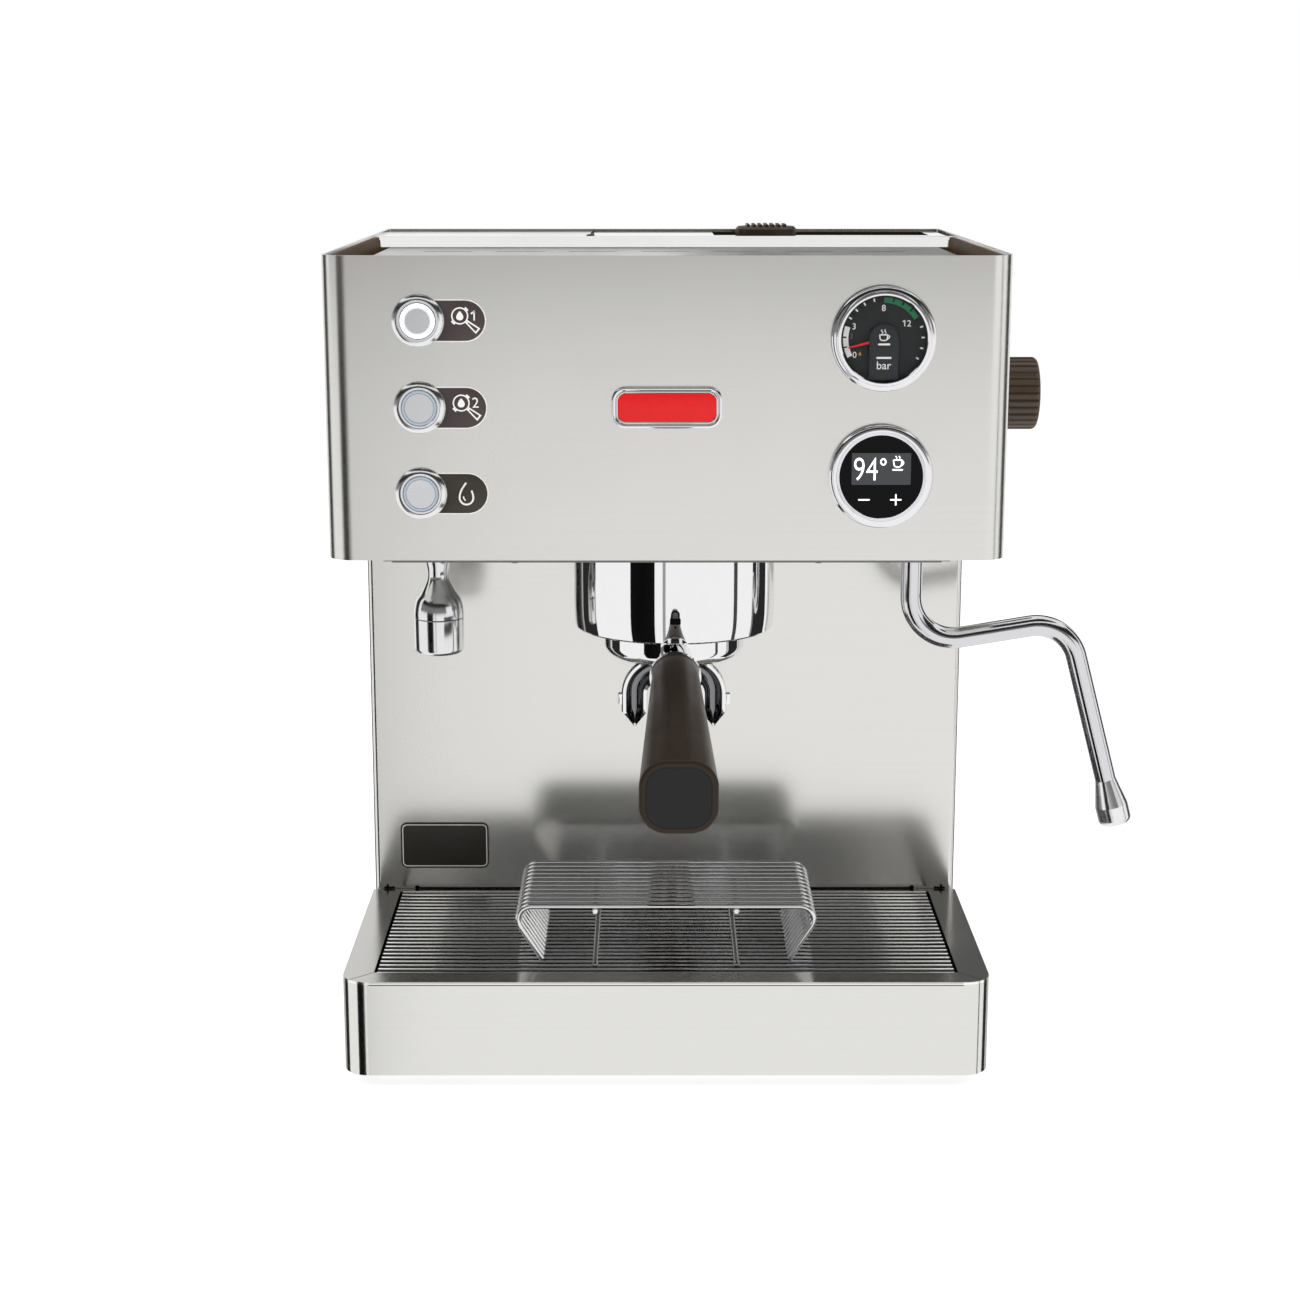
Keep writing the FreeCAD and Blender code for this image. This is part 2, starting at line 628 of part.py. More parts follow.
def make_column():
    """Backsplash and side walls in one bent sheet, and the rear panel with vents."""
    shell = wrap(COLUMN_HALF, BACKSPLASH, BACK, GROUND_GAP, COLUMN_TOP, COLUMN_BEND_RADIUS, SHEET)
    passage = block(-TONGUE_HALF_WIDTH - SLIP, TONGUE_HALF_WIDTH + SLIP, BACKSPLASH - OVERCUT,
                    BACKSPLASH + SHEET + OVERCUT, GROUND_GAP - OVERCUT, BASE_TOP + SLIP)
    export("column_shell", shell.cut(passage))

    lower_half = COLUMN_INNER - SLIP
    upper_half = HALF - SHEET - SLIP
    lower = block(-lower_half, lower_half, INNER_BACK, BACK, GROUND_GAP, COLUMN_TOP + SLIP)
    upper = block(-upper_half, upper_half, INNER_BACK, BACK, COLUMN_TOP + SLIP, HEAD_TOP)
    pieces = [lower, upper]
    for side in (-1, 1):
        edges = sorted((side * lower_half, side * (lower_half - SHEET)))
        pieces.append(block(*edges, INNER_BACK - REAR_FLANGE, INNER_BACK + SHEET / 2,
                            BASE_TOP + SLIP, COLUMN_TOP))
    cuts = []
    for row in range(VENT_COUNT):
        low = COLUMN_TOP + VENT_ABOVE_COLUMN + row * VENT_PITCH
        cuts.append(block(VENT_CENTRE_X - VENT_LENGTH / 2, VENT_CENTRE_X + VENT_LENGTH / 2,
                          INNER_BACK - OVERCUT, BACK + OVERCUT, low, low + VENT_HEIGHT))
    switch_half = SWITCH_WIDTH / 2 + SLIP
    switch_rise = SWITCH_HEIGHT / 2 + SLIP
    cuts.append(block(SWITCH_X - switch_half, SWITCH_X + switch_half, INNER_BACK - OVERCUT, BACK + OVERCUT,
                      SWITCH_Z - switch_rise, SWITCH_Z + switch_rise))
    cuts.append(rod(Vector(GLAND_X, INNER_BACK - OVERCUT, GLAND_Z), REARWARD, GLAND_RADIUS + SLIP,
                    SHEET + 2 * OVERCUT))
    export("rear_panel", joined(pieces).cut(cuts))


def make_rear_fittings():
    """Mains switch with its rocker, and the gland where a mains lead enters."""
    half = SWITCH_WIDTH / 2
    rise = SWITCH_HEIGHT / 2
    wide = half + SWITCH_BORDER
    tall = rise + SWITCH_BORDER
    flange = block(SWITCH_X - wide, SWITCH_X + wide, BACK, BACK + SWITCH_FLANGE,
                   SWITCH_Z - tall, SWITCH_Z + tall)
    can = block(SWITCH_X - half, SWITCH_X + half, BACK - SWITCH_DEPTH, BACK, SWITCH_Z - rise, SWITCH_Z + rise)
    slim = half - SWITCH_BORDER
    low = rise - SWITCH_BORDER
    opening = block(SWITCH_X - slim, SWITCH_X + slim, BACK - SWITCH_DEPTH + SWITCH_BORDER,
                    BACK + SWITCH_FLANGE + OVERCUT, SWITCH_Z - low, SWITCH_Z + low)
    export("mains_switch", joined([flange, can]).cut(opening))

    half_width = slim - SHOW_GAP
    half_height = low - SHOW_GAP
    tilt = math.radians(ROCKER_TILT)
    half_length = (half_height - ROCKER_THICKNESS * math.sin(tilt)) / math.cos(tilt)
    dish = half_length * math.tan(tilt)
    front = BACK + SWITCH_FLANGE + ROCKER_PROUD
    steps = [(front - dish, 0), (front, half_length), (front - ROCKER_THICKNESS, half_length / 2),
             (front - ROCKER_THICKNESS, -half_length / 2)]
    face = outline((front, -half_length), steps, lambda a, b: Vector(SWITCH_X - half_width, a, SWITCH_Z + b))
    rocker = face.extrude(RIGHT * 2 * half_width)
    rocker.rotate(Vector(SWITCH_X, front - ROCKER_THICKNESS, SWITCH_Z), RIGHT, ROCKER_TILT)
    export("mains_rocker", rocker)

    steps = [(GLAND_RADIUS + GLAND_LIP, 0), (GLAND_RADIUS + GLAND_LIP, GLAND_LIP),
             (GLAND_RADIUS, GLAND_LENGTH), (GLAND_CABLE_RADIUS, GLAND_LENGTH),
             (GLAND_CABLE_RADIUS, -GLAND_LIP), (GLAND_RADIUS, -GLAND_LIP)]
    export("cable_gland", turned((GLAND_RADIUS, 0), steps, Vector(GLAND_X, BACK, GLAND_Z), REARWARD))


def make_head_casing():
    """Head casing bent round the front and sides, and the plate under the head."""
    casing = wrap(HALF, FRONT, BACK, HEAD_BOTTOM, HEAD_TOP, HEAD_CORNER_RADIUS, SHEET)
    flange = front_rounded_block(HALF - SHEET / 2, FRONT + SHEET / 2, BACKSPLASH - SLIP,
                                 HEAD_BOTTOM, HEAD_BOTTOM + SHEET, HEAD_CORNER_RADIUS - SHEET / 2)
    window_half = FLOOR_HALF_WIDTH - FLOOR_LAP
    window = block(-window_half, window_half, FRONT + FLANGE_FRONT, BACKSPLASH + OVERCUT,
                   HEAD_BOTTOM - OVERCUT, HEAD_BOTTOM + SHEET + OVERCUT)
    socket_gap = rod(Vector(WAND_X, WAND_Y, HEAD_BOTTOM - OVERCUT), UP, WAND_COLLAR_RADIUS + SHOW_GAP,
                     SHEET + 2 * OVERCUT)
    casing = joined([casing, flange.cut([window, socket_gap])])
    holes = [panel_hole(Vector(BUTTON_X, FRONT, z), BUTTON_BARREL_RADIUS) for z in BUTTON_ROWS]
    holes.append(panel_hole(GAUGE_CENTRE, GAUGE_BARREL_RADIUS))
    holes.append(panel_hole(DISPLAY_CENTRE, DISPLAY_BARREL_RADIUS))
    holes.append(rod(Vector(HALF - SHEET - OVERCUT, VALVE_Y, VALVE_Z), RIGHT,
                     SPINDLE_RADIUS + PANEL_HOLE_FIT, SHEET + 2 * OVERCUT))
    export("head_casing", casing.cut(holes))

    plate = block(-FLOOR_HALF_WIDTH, FLOOR_HALF_WIDTH, FRONT + FLOOR_INSET, BACKSPLASH - SLIP,
                  FLOOR_BOTTOM, HEAD_BOTTOM)
    below = FLOOR_BOTTOM - OVERCUT
    through = FLOOR_SHEET + 2 * OVERCUT
    holes = [
        rod(Vector(GROUP_OFFSET, GROUP_Y, below), UP, NECK_RADIUS + SLIP, through),
        rod(Vector(WATER_X, WATER_Y, below), UP, WATER_TOP_RADIUS + SLIP, through),
        rod(Vector(WAND_X, WAND_Y, below), UP, WAND_SOCKET_RADIUS + SLIP, through),
    ]
    export("head_floor", plate.cut(holes))


def make_cup_deck():
    """Rails inside the head's side walls, and the lift-off cup warmer tray."""
    inner = HALF - SHEET
    rail_front = FRONT + HEAD_CORNER_RADIUS
    ledge_top = DECK_TOP - DECK_EDGE
    rails = []
    for side in (-1, 1):
        wall = sorted((side * inner, side * (inner - RAIL_WALL)))
        ledge = sorted((side * inner, side * (inner - RAIL_LEDGE)))
        upright = block(*wall, rail_front, RISER_Y, ledge_top - RAIL_LEDGE_HEIGHT, HEAD_TOP - RAIL_TOP_DROP)
        shelf = block(*ledge, rail_front, RISER_Y, ledge_top - RAIL_LEDGE_HEIGHT, ledge_top)
        rails.append(joined([upright, shelf]))
    export("tray_rails", Part.makeCompound(rails))

    tray_front = FRONT + SHEET + DECK_FRONT_GAP
    tray_back = tray_front + DECK_DEPTH
    skin = block(-DECK_HALF_WIDTH, DECK_HALF_WIDTH, tray_front, tray_back, ledge_top, DECK_TOP)
    hollow = block(-DECK_HALF_WIDTH + DECK_SHEET, DECK_HALF_WIDTH - DECK_SHEET, tray_front + DECK_SHEET,
                   tray_back - DECK_SHEET, ledge_top - OVERCUT, DECK_TOP - DECK_SHEET)
    cuts = [hollow]
    for row in range(DECK_SLOT_ROWS):
        for column in range(DECK_SLOT_COLUMNS):
            x = (column - (DECK_SLOT_COLUMNS - 1) / 2) * DECK_SLOT_PITCH_X
            y = tray_front + DECK_DEPTH / 2 + (row - (DECK_SLOT_ROWS - 1) / 2) * DECK_SLOT_PITCH_Y
            cuts.append(block(x - DECK_SLOT_LENGTH / 2, x + DECK_SLOT_LENGTH / 2, y - DECK_SLOT_WIDTH / 2,
                              y + DECK_SLOT_WIDTH / 2, DECK_TOP - DECK_SHEET - OVERCUT, DECK_TOP + OVERCUT))
    export("cup_tray", skin.cut(cuts))


def make_rear_deck():
    """Riser behind the cup tray with the fixed left half of the rear deck."""
    inner = HALF - SHEET - SLIP
    riser = block(-inner, inner, RISER_Y, RISER_Y + SHEET, DECK_TOP - RISER_DEPTH, REAR_DECK_TOP)
    deck = block(-inner, TANK_LEFT - LID_OVERHANG - SHOW_GAP, RISER_Y, INNER_BACK - SLIP,
                 REAR_DECK_TOP - SHEET, REAR_DECK_TOP)
    export("rear_deck", joined([riser, deck]))


def make_water_tank():
    """Lift-out tank with its lid, plug cap, cradle and outlet dock."""
    shell = rounded_block(TANK_LEFT, TANK_RIGHT, TANK_FRONT, TANK_BACK, TANK_BOTTOM, TANK_TOP,
                          TANK_CORNER_RADIUS)
    inside = rounded_block(TANK_LEFT + TANK_WALL, TANK_RIGHT - TANK_WALL, TANK_FRONT + TANK_WALL,
                           TANK_BACK - TANK_WALL, TANK_BOTTOM + TANK_WALL, TANK_TOP + OVERCUT,
                           TANK_CORNER_RADIUS - TANK_WALL)
    spigot_foot = Vector(TANK_SPIGOT_X, TANK_MIDDLE_Y, TANK_BOTTOM - TANK_SPIGOT_LENGTH)
    spigot = rod(spigot_foot, UP, TANK_SPIGOT_RADIUS, TANK_SPIGOT_LENGTH + TANK_WALL / 2)
    bore = rod(spigot_foot - UP * OVERCUT, UP, TANK_SPIGOT_BORE, TANK_SPIGOT_LENGTH + TANK_WALL + 2 * OVERCUT)
    export("water_tank", joined([shell.cut(inside), spigot]).cut(bore))

    lid_left = TANK_LEFT - LID_OVERHANG
    lid_right = TANK_RIGHT + LID_OVERHANG
    lid_front = TANK_FRONT - LID_OVERHANG
    lid_back = TANK_BACK + LID_OVERHANG
    plug_gap = TANK_WALL + SLIP
    plate = block(lid_left, lid_right, lid_front, lid_back, TANK_TOP, REAR_DECK_TOP)
    plug = rounded_block(TANK_LEFT + plug_gap, TANK_RIGHT - plug_gap, TANK_FRONT + plug_gap,
                         TANK_BACK - plug_gap, TANK_TOP - LID_PLUG_DEPTH, TANK_TOP + LID_SHEET / 2,
                         TANK_CORNER_RADIUS - plug_gap)
    well_gap = plug_gap + LID_WELL_BORDER
    well_right = TANK_RIGHT - well_gap
    well_floor = REAR_DECK_TOP - LID_WELL_DEPTH
    well = block(well_right - LID_WELL_WIDTH, well_right, TANK_FRONT + well_gap, TANK_BACK - well_gap,
                 well_floor, REAR_DECK_TOP + OVERCUT)
    cap_x = well_right - LID_WELL_WIDTH + CAP_INSET
    filler = rod(Vector(cap_x, TANK_MIDDLE_Y, TANK_TOP - LID_PLUG_DEPTH - OVERCUT), UP,
                 CAP_PLUG_RADIUS + SLIP, LID_PLUG_DEPTH + LID_SHEET + 2 * OVERCUT)
    export("tank_lid", joined([plate, plug]).cut([well, filler]))

    crown = CAP_HEIGHT - CAP_RIDGE_HEIGHT
    steps = [(CAP_PLUG_RADIUS, -CAP_PLUG_LENGTH), (CAP_PLUG_RADIUS, 0), (CAP_RADIUS, 0),
             (CAP_RADIUS, crown - CAP_RIDGE_HEIGHT), (CAP_RADIUS - CAP_RIDGE_HEIGHT, crown), (0, crown)]
    cap = turned((0, -CAP_PLUG_LENGTH), steps, Vector(cap_x, TANK_MIDDLE_Y, well_floor))
    ridges = []
    for index in range(CAP_RIDGES):
        x = (index - (CAP_RIDGES - 1) / 2) * 2 * CAP_RIDGE_WIDTH
        reach = math.sqrt((CAP_RADIUS - 2 * CAP_RIDGE_HEIGHT) ** 2 - x ** 2)
        ridges.append(block(cap_x + x - CAP_RIDGE_WIDTH / 2, cap_x + x + CAP_RIDGE_WIDTH / 2,
                            TANK_MIDDLE_Y - reach, TANK_MIDDLE_Y + reach,
                            well_floor + crown - CAP_RIDGE_HEIGHT, well_floor + CAP_HEIGHT))
    export("tank_cap", joined([cap] + ridges))

    cradle_back = INNER_BACK - REAR_FLANGE - SLIP
    shelf = block(TANK_LEFT, TANK_RIGHT, RISER_Y, cradle_back, TANK_BOTTOM - SHEET, TANK_BOTTOM)
    lip = block(TANK_LEFT, TANK_RIGHT, RISER_Y, RISER_Y + SHEET, TANK_BOTTOM - SHEET,
                TANK_BOTTOM + CRADLE_LIP)
    pieces = [shelf, lip]
    for leg_left in (TANK_LEFT, TANK_RIGHT - SHEET):
        pieces.append(block(leg_left, leg_left + SHEET, RISER_Y, cradle_back, BASE_TOP, TANK_BOTTOM))
    spigot_hole = rod(Vector(TANK_SPIGOT_X, TANK_MIDDLE_Y, TANK_BOTTOM - SHEET - OVERCUT), UP,
                      TANK_SPIGOT_RADIUS + SHOW_GAP, SHEET + 2 * OVERCUT)
    dock_bore = TANK_SPIGOT_RADIUS + SHOW_GAP
    dock_radius = dock_bore + DOCK_WALL
    dock_floor = DOCK_HEIGHT - (TANK_SPIGOT_LENGTH - SHEET) - SHOW_GAP
    steps = [(dock_radius, 0), (dock_radius, DOCK_HEIGHT), (dock_bore, DOCK_HEIGHT), (dock_bore, dock_floor),
             (HOSE_RADIUS / 2, dock_floor)]
    dock = turned((HOSE_RADIUS / 2, 0), steps, Vector(TANK_SPIGOT_X, TANK_MIDDLE_Y, DOCK_BOTTOM))
    export("tank_cradle", joined([joined(pieces).cut(spigot_hole), dock]))


def make_group():
    """Chromed bayonet ring, group head, gasket and shower screen."""
    axis = Vector(GROUP_OFFSET, GROUP_Y, 0)
    low_radius = RING_RADIUS - RING_TAPER
    steps = [(low_radius - RING_EDGE, RING_BOTTOM), (low_radius, RING_BOTTOM + RING_EDGE),
             (RING_RADIUS, RING_BOTTOM + RING_TAPER_HEIGHT), (RING_RADIUS, FLOOR_BOTTOM),
             (RING_BORE, FLOOR_BOTTOM), (RING_BORE, RING_BOTTOM + LEDGE_HEIGHT),
             (LEDGE_BORE, RING_BOTTOM + LEDGE_HEIGHT)]
    ring = turned((LEDGE_BORE, RING_BOTTOM), steps, axis)
    entries = []
    for side in (0, 180):
        first = side - LOCK_TURN - ENTRY_ANGLE / 2
        wedge = Part.makeCylinder(RING_BORE, LEDGE_HEIGHT + 2 * OVERCUT, axis + UP * (RING_BOTTOM - OVERCUT),
                                  UP, ENTRY_ANGLE)
        wedge.rotate(axis, UP, first)
        entries.append(wedge)
    export("group_ring", ring.cut(entries))

    disc_radius = RING_BORE - SLIP
    steps = [(disc_radius, GROUP_FACE), (disc_radius, FLOOR_BOTTOM), (NECK_RADIUS, FLOOR_BOTTOM),
             (NECK_RADIUS, BREW_BOILER_BOTTOM), (0, BREW_BOILER_BOTTOM)]
    export("group_head", turned((0, GROUP_FACE), steps, axis))

    steps = [(GASKET_RADIUS, GASKET_BOTTOM), (GASKET_RADIUS, GROUP_FACE), (GASKET_BORE, GROUP_FACE)]
    export("group_gasket", turned((GASKET_BORE, GASKET_BOTTOM), steps, axis))

    screen_bottom = GROUP_FACE - SCREEN_HEIGHT
    screen_bore = SCREEN_RADIUS - SCREEN_SHEET
    screen_face = screen_bottom + SCREEN_SHEET
    steps = [(SCREEN_RADIUS, screen_bottom), (SCREEN_RADIUS, GROUP_FACE), (screen_bore, GROUP_FACE),
             (screen_bore, screen_face), (0, screen_face)]
    screen = turned((0, screen_bottom), steps, axis)
    holes = []
    for ring_index, count in enumerate((6, 12, 18), start=1):
        spread = SCREEN_RADIUS * ring_index / 4
        for index in range(count):
            angle = 2 * math.pi * index / count
            foot = axis + Vector(spread * math.cos(angle), spread * math.sin(angle), screen_bottom - OVERCUT)
            holes.append(wire([foot, foot + UP * (SCREEN_SHEET + 2 * OVERCUT)], SCREEN_HOLE_RADIUS))
    export("shower_screen", screen.cut(holes))


def tilted(shape):
    """Turn a piece made along the level handle axis down to the handle's tilt."""
    shape.rotate(Vector(0, 0, 0), RIGHT, HANDLE_TILT)
    shape.translate(HANDLE_PIVOT)
    return shape


def handle_section(size, corner, reach):
    """Round-cornered section of the handle at a distance from the group axis."""
    face = rounded_rectangle(size, size, corner, lambda a, b: Vector(a, -reach, b))
    return face.OuterWire


def make_portafilter():
    """Bowl with lugs and stem, filter basket, ferrule, handle, end cap and twin spout."""
    axis = Vector(GROUP_OFFSET, GROUP_Y, 0)
    bore = BOWL_RADIUS - BOWL_WALL
    turn = BOWL_EDGE * (1 - math.sqrt(0.5))
    steps = [
        (BOWL_RADIUS - BOWL_EDGE, BOWL_BOTTOM),
        ((BOWL_RADIUS - turn, BOWL_BOTTOM + turn), (BOWL_RADIUS, BOWL_BOTTOM + BOWL_EDGE)),
        (BOWL_RADIUS, RIM_TOP), (bore, RIM_TOP), (bore, BOWL_BOTTOM + BOWL_FLOOR),
        (TANG_RADIUS, BOWL_BOTTOM + BOWL_FLOOR),
    ]
    bowl = turned((TANG_RADIUS, BOWL_BOTTOM), steps, axis)
    pieces = [bowl]
    for side in (0, 180):
        lug = Part.makeCylinder(LUG_RADIUS, LUG_HEIGHT, axis + UP * LUG_BOTTOM, UP, LUG_ANGLE)
        lug = lug.cut(rod(axis, UP, BOWL_RADIUS - BOWL_WALL / 2, RIM_TOP + OVERCUT))
        lug.rotate(axis, UP, side - LUG_ANGLE / 2)
        pieces.append(lug)
    forward = Vector(0, -1, 0)
    stem_start = BOWL_RADIUS - BOWL_WALL / 2
    tang_end = HANDLE_ROOT + TANG_LENGTH
    steps = [(STEM_RADIUS, stem_start), (STEM_RADIUS, STEM_END), (TANG_RADIUS, STEM_END),
             (TANG_RADIUS, tang_end), (0, tang_end)]
    stem = turned((0, stem_start), steps, Vector(0, 0, 0), forward)
    pieces.append(tilted(stem).cut(rod(axis, UP, stem_start, HEAD_TOP)))
    export("portafilter_body", joined(pieces))

    basket_radius = bore - SLIP
    flange_radius = BOWL_RADIUS
    top = RIM_TOP + BASKET_FLANGE
    floor = top - BASKET_DEPTH
    steps = [(basket_radius, floor), (basket_radius, RIM_TOP), (flange_radius, RIM_TOP), (flange_radius, top),
             (basket_radius - BASKET_WALL, top), (basket_radius - BASKET_WALL, floor + BASKET_WALL),
             (0, floor + BASKET_WALL)]
    export("filter_basket", turned((0, floor), steps, axis))

    tang_bore = TANG_RADIUS + SLIP
    steps = [(STEM_RADIUS, STEM_END), (FERRULE_RADIUS, HANDLE_ROOT - FERRULE_LENGTH / 4),
             (FERRULE_RADIUS, HANDLE_ROOT), (tang_bore, HANDLE_ROOT)]
    export("handle_ferrule", tilted(turned((tang_bore, STEM_END), steps, Vector(0, 0, 0), forward)))

    root = handle_section(HANDLE_ROOT_SIZE, HANDLE_ROOT_CORNER, HANDLE_ROOT)
    end = handle_section(HANDLE_END_SIZE, HANDLE_END_CORNER, HANDLE_END)
    handle = Part.makeLoft([root, end], True, True)
    end_edges = [edge for edge in handle.Edges if abs(edge.BoundBox.YMax + HANDLE_END) < 1e-6]
    handle = handle.makeFillet(HANDLE_END_EDGE, end_edges)
    socket = rod(Vector(0, -HANDLE_ROOT + OVERCUT, 0), forward, tang_bore, TANG_LENGTH + OVERCUT + SHOW_GAP)
    place = lambda a, b: Vector(a, -HANDLE_END + CAP_PLATE_DEPTH, b)
    fit = 2 * SLIP
    pocket = rounded_rectangle(CAP_PLATE_SIZE + fit, CAP_PLATE_SIZE + fit, CAP_PLATE_CORNER + SLIP, place)
    pocket = pocket.extrude(forward * (CAP_PLATE_DEPTH + OVERCUT))
    export("handle_grip", tilted(handle.cut([socket, pocket])))
    cap_plate = rounded_rectangle(CAP_PLATE_SIZE, CAP_PLATE_SIZE, CAP_PLATE_CORNER, place)
    export("handle_cap", tilted(cap_plate.extrude(forward * CAP_PLATE_DEPTH)))

    hub = rod(axis + UP * (BOWL_BOTTOM - SPOUT_HUB_HEIGHT), UP, SPOUT_HUB_RADIUS, SPOUT_HUB_HEIGHT)
    pieces = [hub]
    bores = []
    tip_z = BOWL_BOTTOM - SPOUT_DROP
    channel_z = BOWL_BOTTOM - SPOUT_HUB_HEIGHT / 2 - SPOUT_TUBE_RADIUS / 2
    inner_radius = SPOUT_TUBE_RADIUS - SPOUT_TUBE_WALL
    tip_angle = math.degrees(math.atan2(SPOUT_TIP_CUT, SPOUT_TUBE_RADIUS))
    fronts = []
    for side in (-1, 1):
        start = axis + Vector(0, 0, channel_z)
        corner = axis + Vector(side * SPOUT_SPREAD, 0, channel_z)
        tip = axis + Vector(side * SPOUT_SPREAD, 0, tip_z)
        below_tip = axis + Vector(side * SPOUT_SPREAD, 0, tip_z - OVERCUT)
        branch = tube([start, corner, tip], SPOUT_BEND, SPOUT_TUBE_RADIUS)
        nub_x = sorted((corner.x + side * (SPOUT_TUBE_RADIUS - SPOUT_TUBE_WALL / 2),
                        corner.x + side * (SPOUT_TUBE_RADIUS + SPOUT_NUB_WIDTH)))
        nub_top = BOWL_BOTTOM - SPOUT_NUB_DROP
        nub = block(*nub_x, GROUP_Y - SPOUT_NUB_WIDTH, GROUP_Y + SPOUT_NUB_WIDTH,
                    nub_top - SPOUT_NUB_HEIGHT, nub_top)
        pieces.extend([branch, nub])
        bores.append(tube([start, corner, below_tip], SPOUT_BEND, inner_radius))
        bill_back = GROUP_Y - SPOUT_TUBE_RADIUS - OVERCUT
        fronts.append(block(corner.x - inner_radius, corner.x + inner_radius, bill_back, GROUP_Y,
                            tip_z - OVERCUT, channel_z - SPOUT_BEND))
        for lean in (-1, 1):
            cutter = block(-SPOUT_TUBE_RADIUS, SPOUT_TUBE_RADIUS, -SPOUT_TUBE_RADIUS - OVERCUT,
                           SPOUT_TUBE_RADIUS + OVERCUT, -SPOUT_TIP_CUT * 2, 0)
            cutter.rotate(Vector(0, 0, 0), REARWARD, -lean * tip_angle)
            cutter.translate(tip)
            side_x = sorted((tip.x, tip.x + lean * 3 * SPOUT_TUBE_RADIUS))
            side_room = block(*side_x, tip.y - 2 * SPOUT_TUBE_RADIUS, tip.y + 2 * SPOUT_TUBE_RADIUS,
                              tip.z - 3 * SPOUT_TIP_CUT, tip.z + 2 * SPOUT_TIP_CUT)
            fronts.append(cutter.common(side_room))
    drain = rod(axis + UP * channel_z, UP, inner_radius, BOWL_BOTTOM - channel_z + OVERCUT)
    spout = joined(pieces).cut(bores + fronts + [drain])
    export("twin_spout", spout)


def make_water_spout():
    """Hot water spout: bell-shaped body under the head with a separate nozzle."""
    base = Vector(WATER_X, WATER_Y, HEAD_BOTTOM)
    flange = WATER_TOP_RADIUS + BOILER_FLANGE / 2
    waist = (WATER_NECK_RADIUS + WATER_BELL_RADIUS) / 2
    waist_drop = (WATER_NECK_DROP + WATER_BELL_DROP) / 2
    steps = [
        (WATER_TOP_RADIUS, -FLOOR_SHEET),
        (WATER_TOP_RADIUS, 0), (flange, 0), (flange, WATER_STUD_RISE), (0, WATER_STUD_RISE),
        (0, -WATER_SEAM_DROP), (WATER_BELL_RADIUS, -WATER_SEAM_DROP), (WATER_BELL_RADIUS, -WATER_BELL_DROP),
        ((waist - SHEET, -waist_drop), (WATER_NECK_RADIUS, -WATER_NECK_DROP)),
    ]
    export("water_spout", turned((WATER_TOP_RADIUS, -FLOOR_SHEET - SHEET), steps, base))

    turn = NOZZLE_EDGE * (1 - math.sqrt(0.5))
    radius = WATER_BELL_RADIUS - SLIP
    steps = [
        (radius - NOZZLE_EDGE, 0), ((radius - turn, turn), (radius, NOZZLE_EDGE)), (radius, NOZZLE_LENGTH),
        (0, NOZZLE_LENGTH), (0, NOZZLE_BORE_DEPTH), (NOZZLE_BORE, NOZZLE_BORE_DEPTH),
    ]
    bottom = base - UP * (WATER_SEAM_DROP + NOZZLE_LENGTH)
    export("spout_nozzle", turned((NOZZLE_BORE, 0), steps, bottom))


def make_steam_wand():
    """Socket under the head, the bent swivelling wand and its tip."""
    socket_base = Vector(WAND_X, WAND_Y, HEAD_BOTTOM)
    bore = WAND_RADIUS + RUNNING_FIT
    top_bore = PIPE_RADIUS - SHEET
    collar_top = SHEET * 2
    steps = [(WAND_SOCKET_RADIUS, -WAND_SOCKET_DROP), (WAND_SOCKET_RADIUS, 0), (WAND_COLLAR_RADIUS, 0),
             (WAND_COLLAR_RADIUS, collar_top), (WAND_SOCKET_RADIUS, collar_top),
             (WAND_SOCKET_RADIUS, WAND_SOCKET_RISE), (top_bore, WAND_SOCKET_RISE), (top_bore, 0), (bore, 0)]
    export("wand_socket", turned((bore, -WAND_SOCKET_DROP), steps, socket_base))

    rise = math.radians(WAND_ARM_RISE)
    lean = math.radians(WAND_LEG_LEAN)
    top = socket_base - UP * SHOW_GAP
    elbow = socket_base - UP * WAND_ELBOW_DROP
    shoulder = elbow + Vector(math.cos(rise), 0, math.sin(rise)) * WAND_ARM
    leg = Vector(math.sin(lean), 0, -math.cos(lean))
    end = shoulder + leg * WAND_LEG
    wand = tube([top, elbow, shoulder, end], WAND_BEND, WAND_RADIUS)
    spigot = rod(end - leg * WAND_BEND / 4, leg, WAND_SPIGOT_RADIUS, WAND_BEND / 4 + WAND_SPIGOT_LENGTH)
    export("steam_wand", joined([wand, spigot]))

    turn = WAND_TIP_EDGE * (1 - math.sqrt(0.5))
    low = WAND_TIP_LENGTH
    spigot_bore = WAND_SPIGOT_RADIUS + SLIP
    spigot_seat = WAND_SPIGOT_LENGTH + SHOW_GAP
    steps = [
        (WAND_RADIUS, 0), (WAND_TIP_RADIUS, WAND_TIP_FLARE), (WAND_TIP_RADIUS, low - WAND_TIP_EDGE),
        ((WAND_TIP_RADIUS - turn, low - turn), (WAND_TIP_RADIUS - WAND_TIP_EDGE, low)), (0, low),
        (0, spigot_seat), (spigot_bore, spigot_seat),
    ]
    tip = turned((spigot_bore, 0), steps, end, leg)
    holes = []
    for index in range(4):
        angle = math.pi / 4 + index * math.pi / 2
        spread = (WAND_TIP_RADIUS - WAND_TIP_EDGE) * 0.6
        local = Vector(spread * math.cos(angle), spread * math.sin(angle), 0)
        foot = end + FreeCAD.Rotation(UP, leg).multVec(local) + leg * (low - WAND_TIP_EDGE)
        holes.append(rod(foot, leg, WAND_TIP_HOLE_RADIUS, WAND_TIP_EDGE + OVERCUT))
    export("wand_tip", tip.cut(holes))


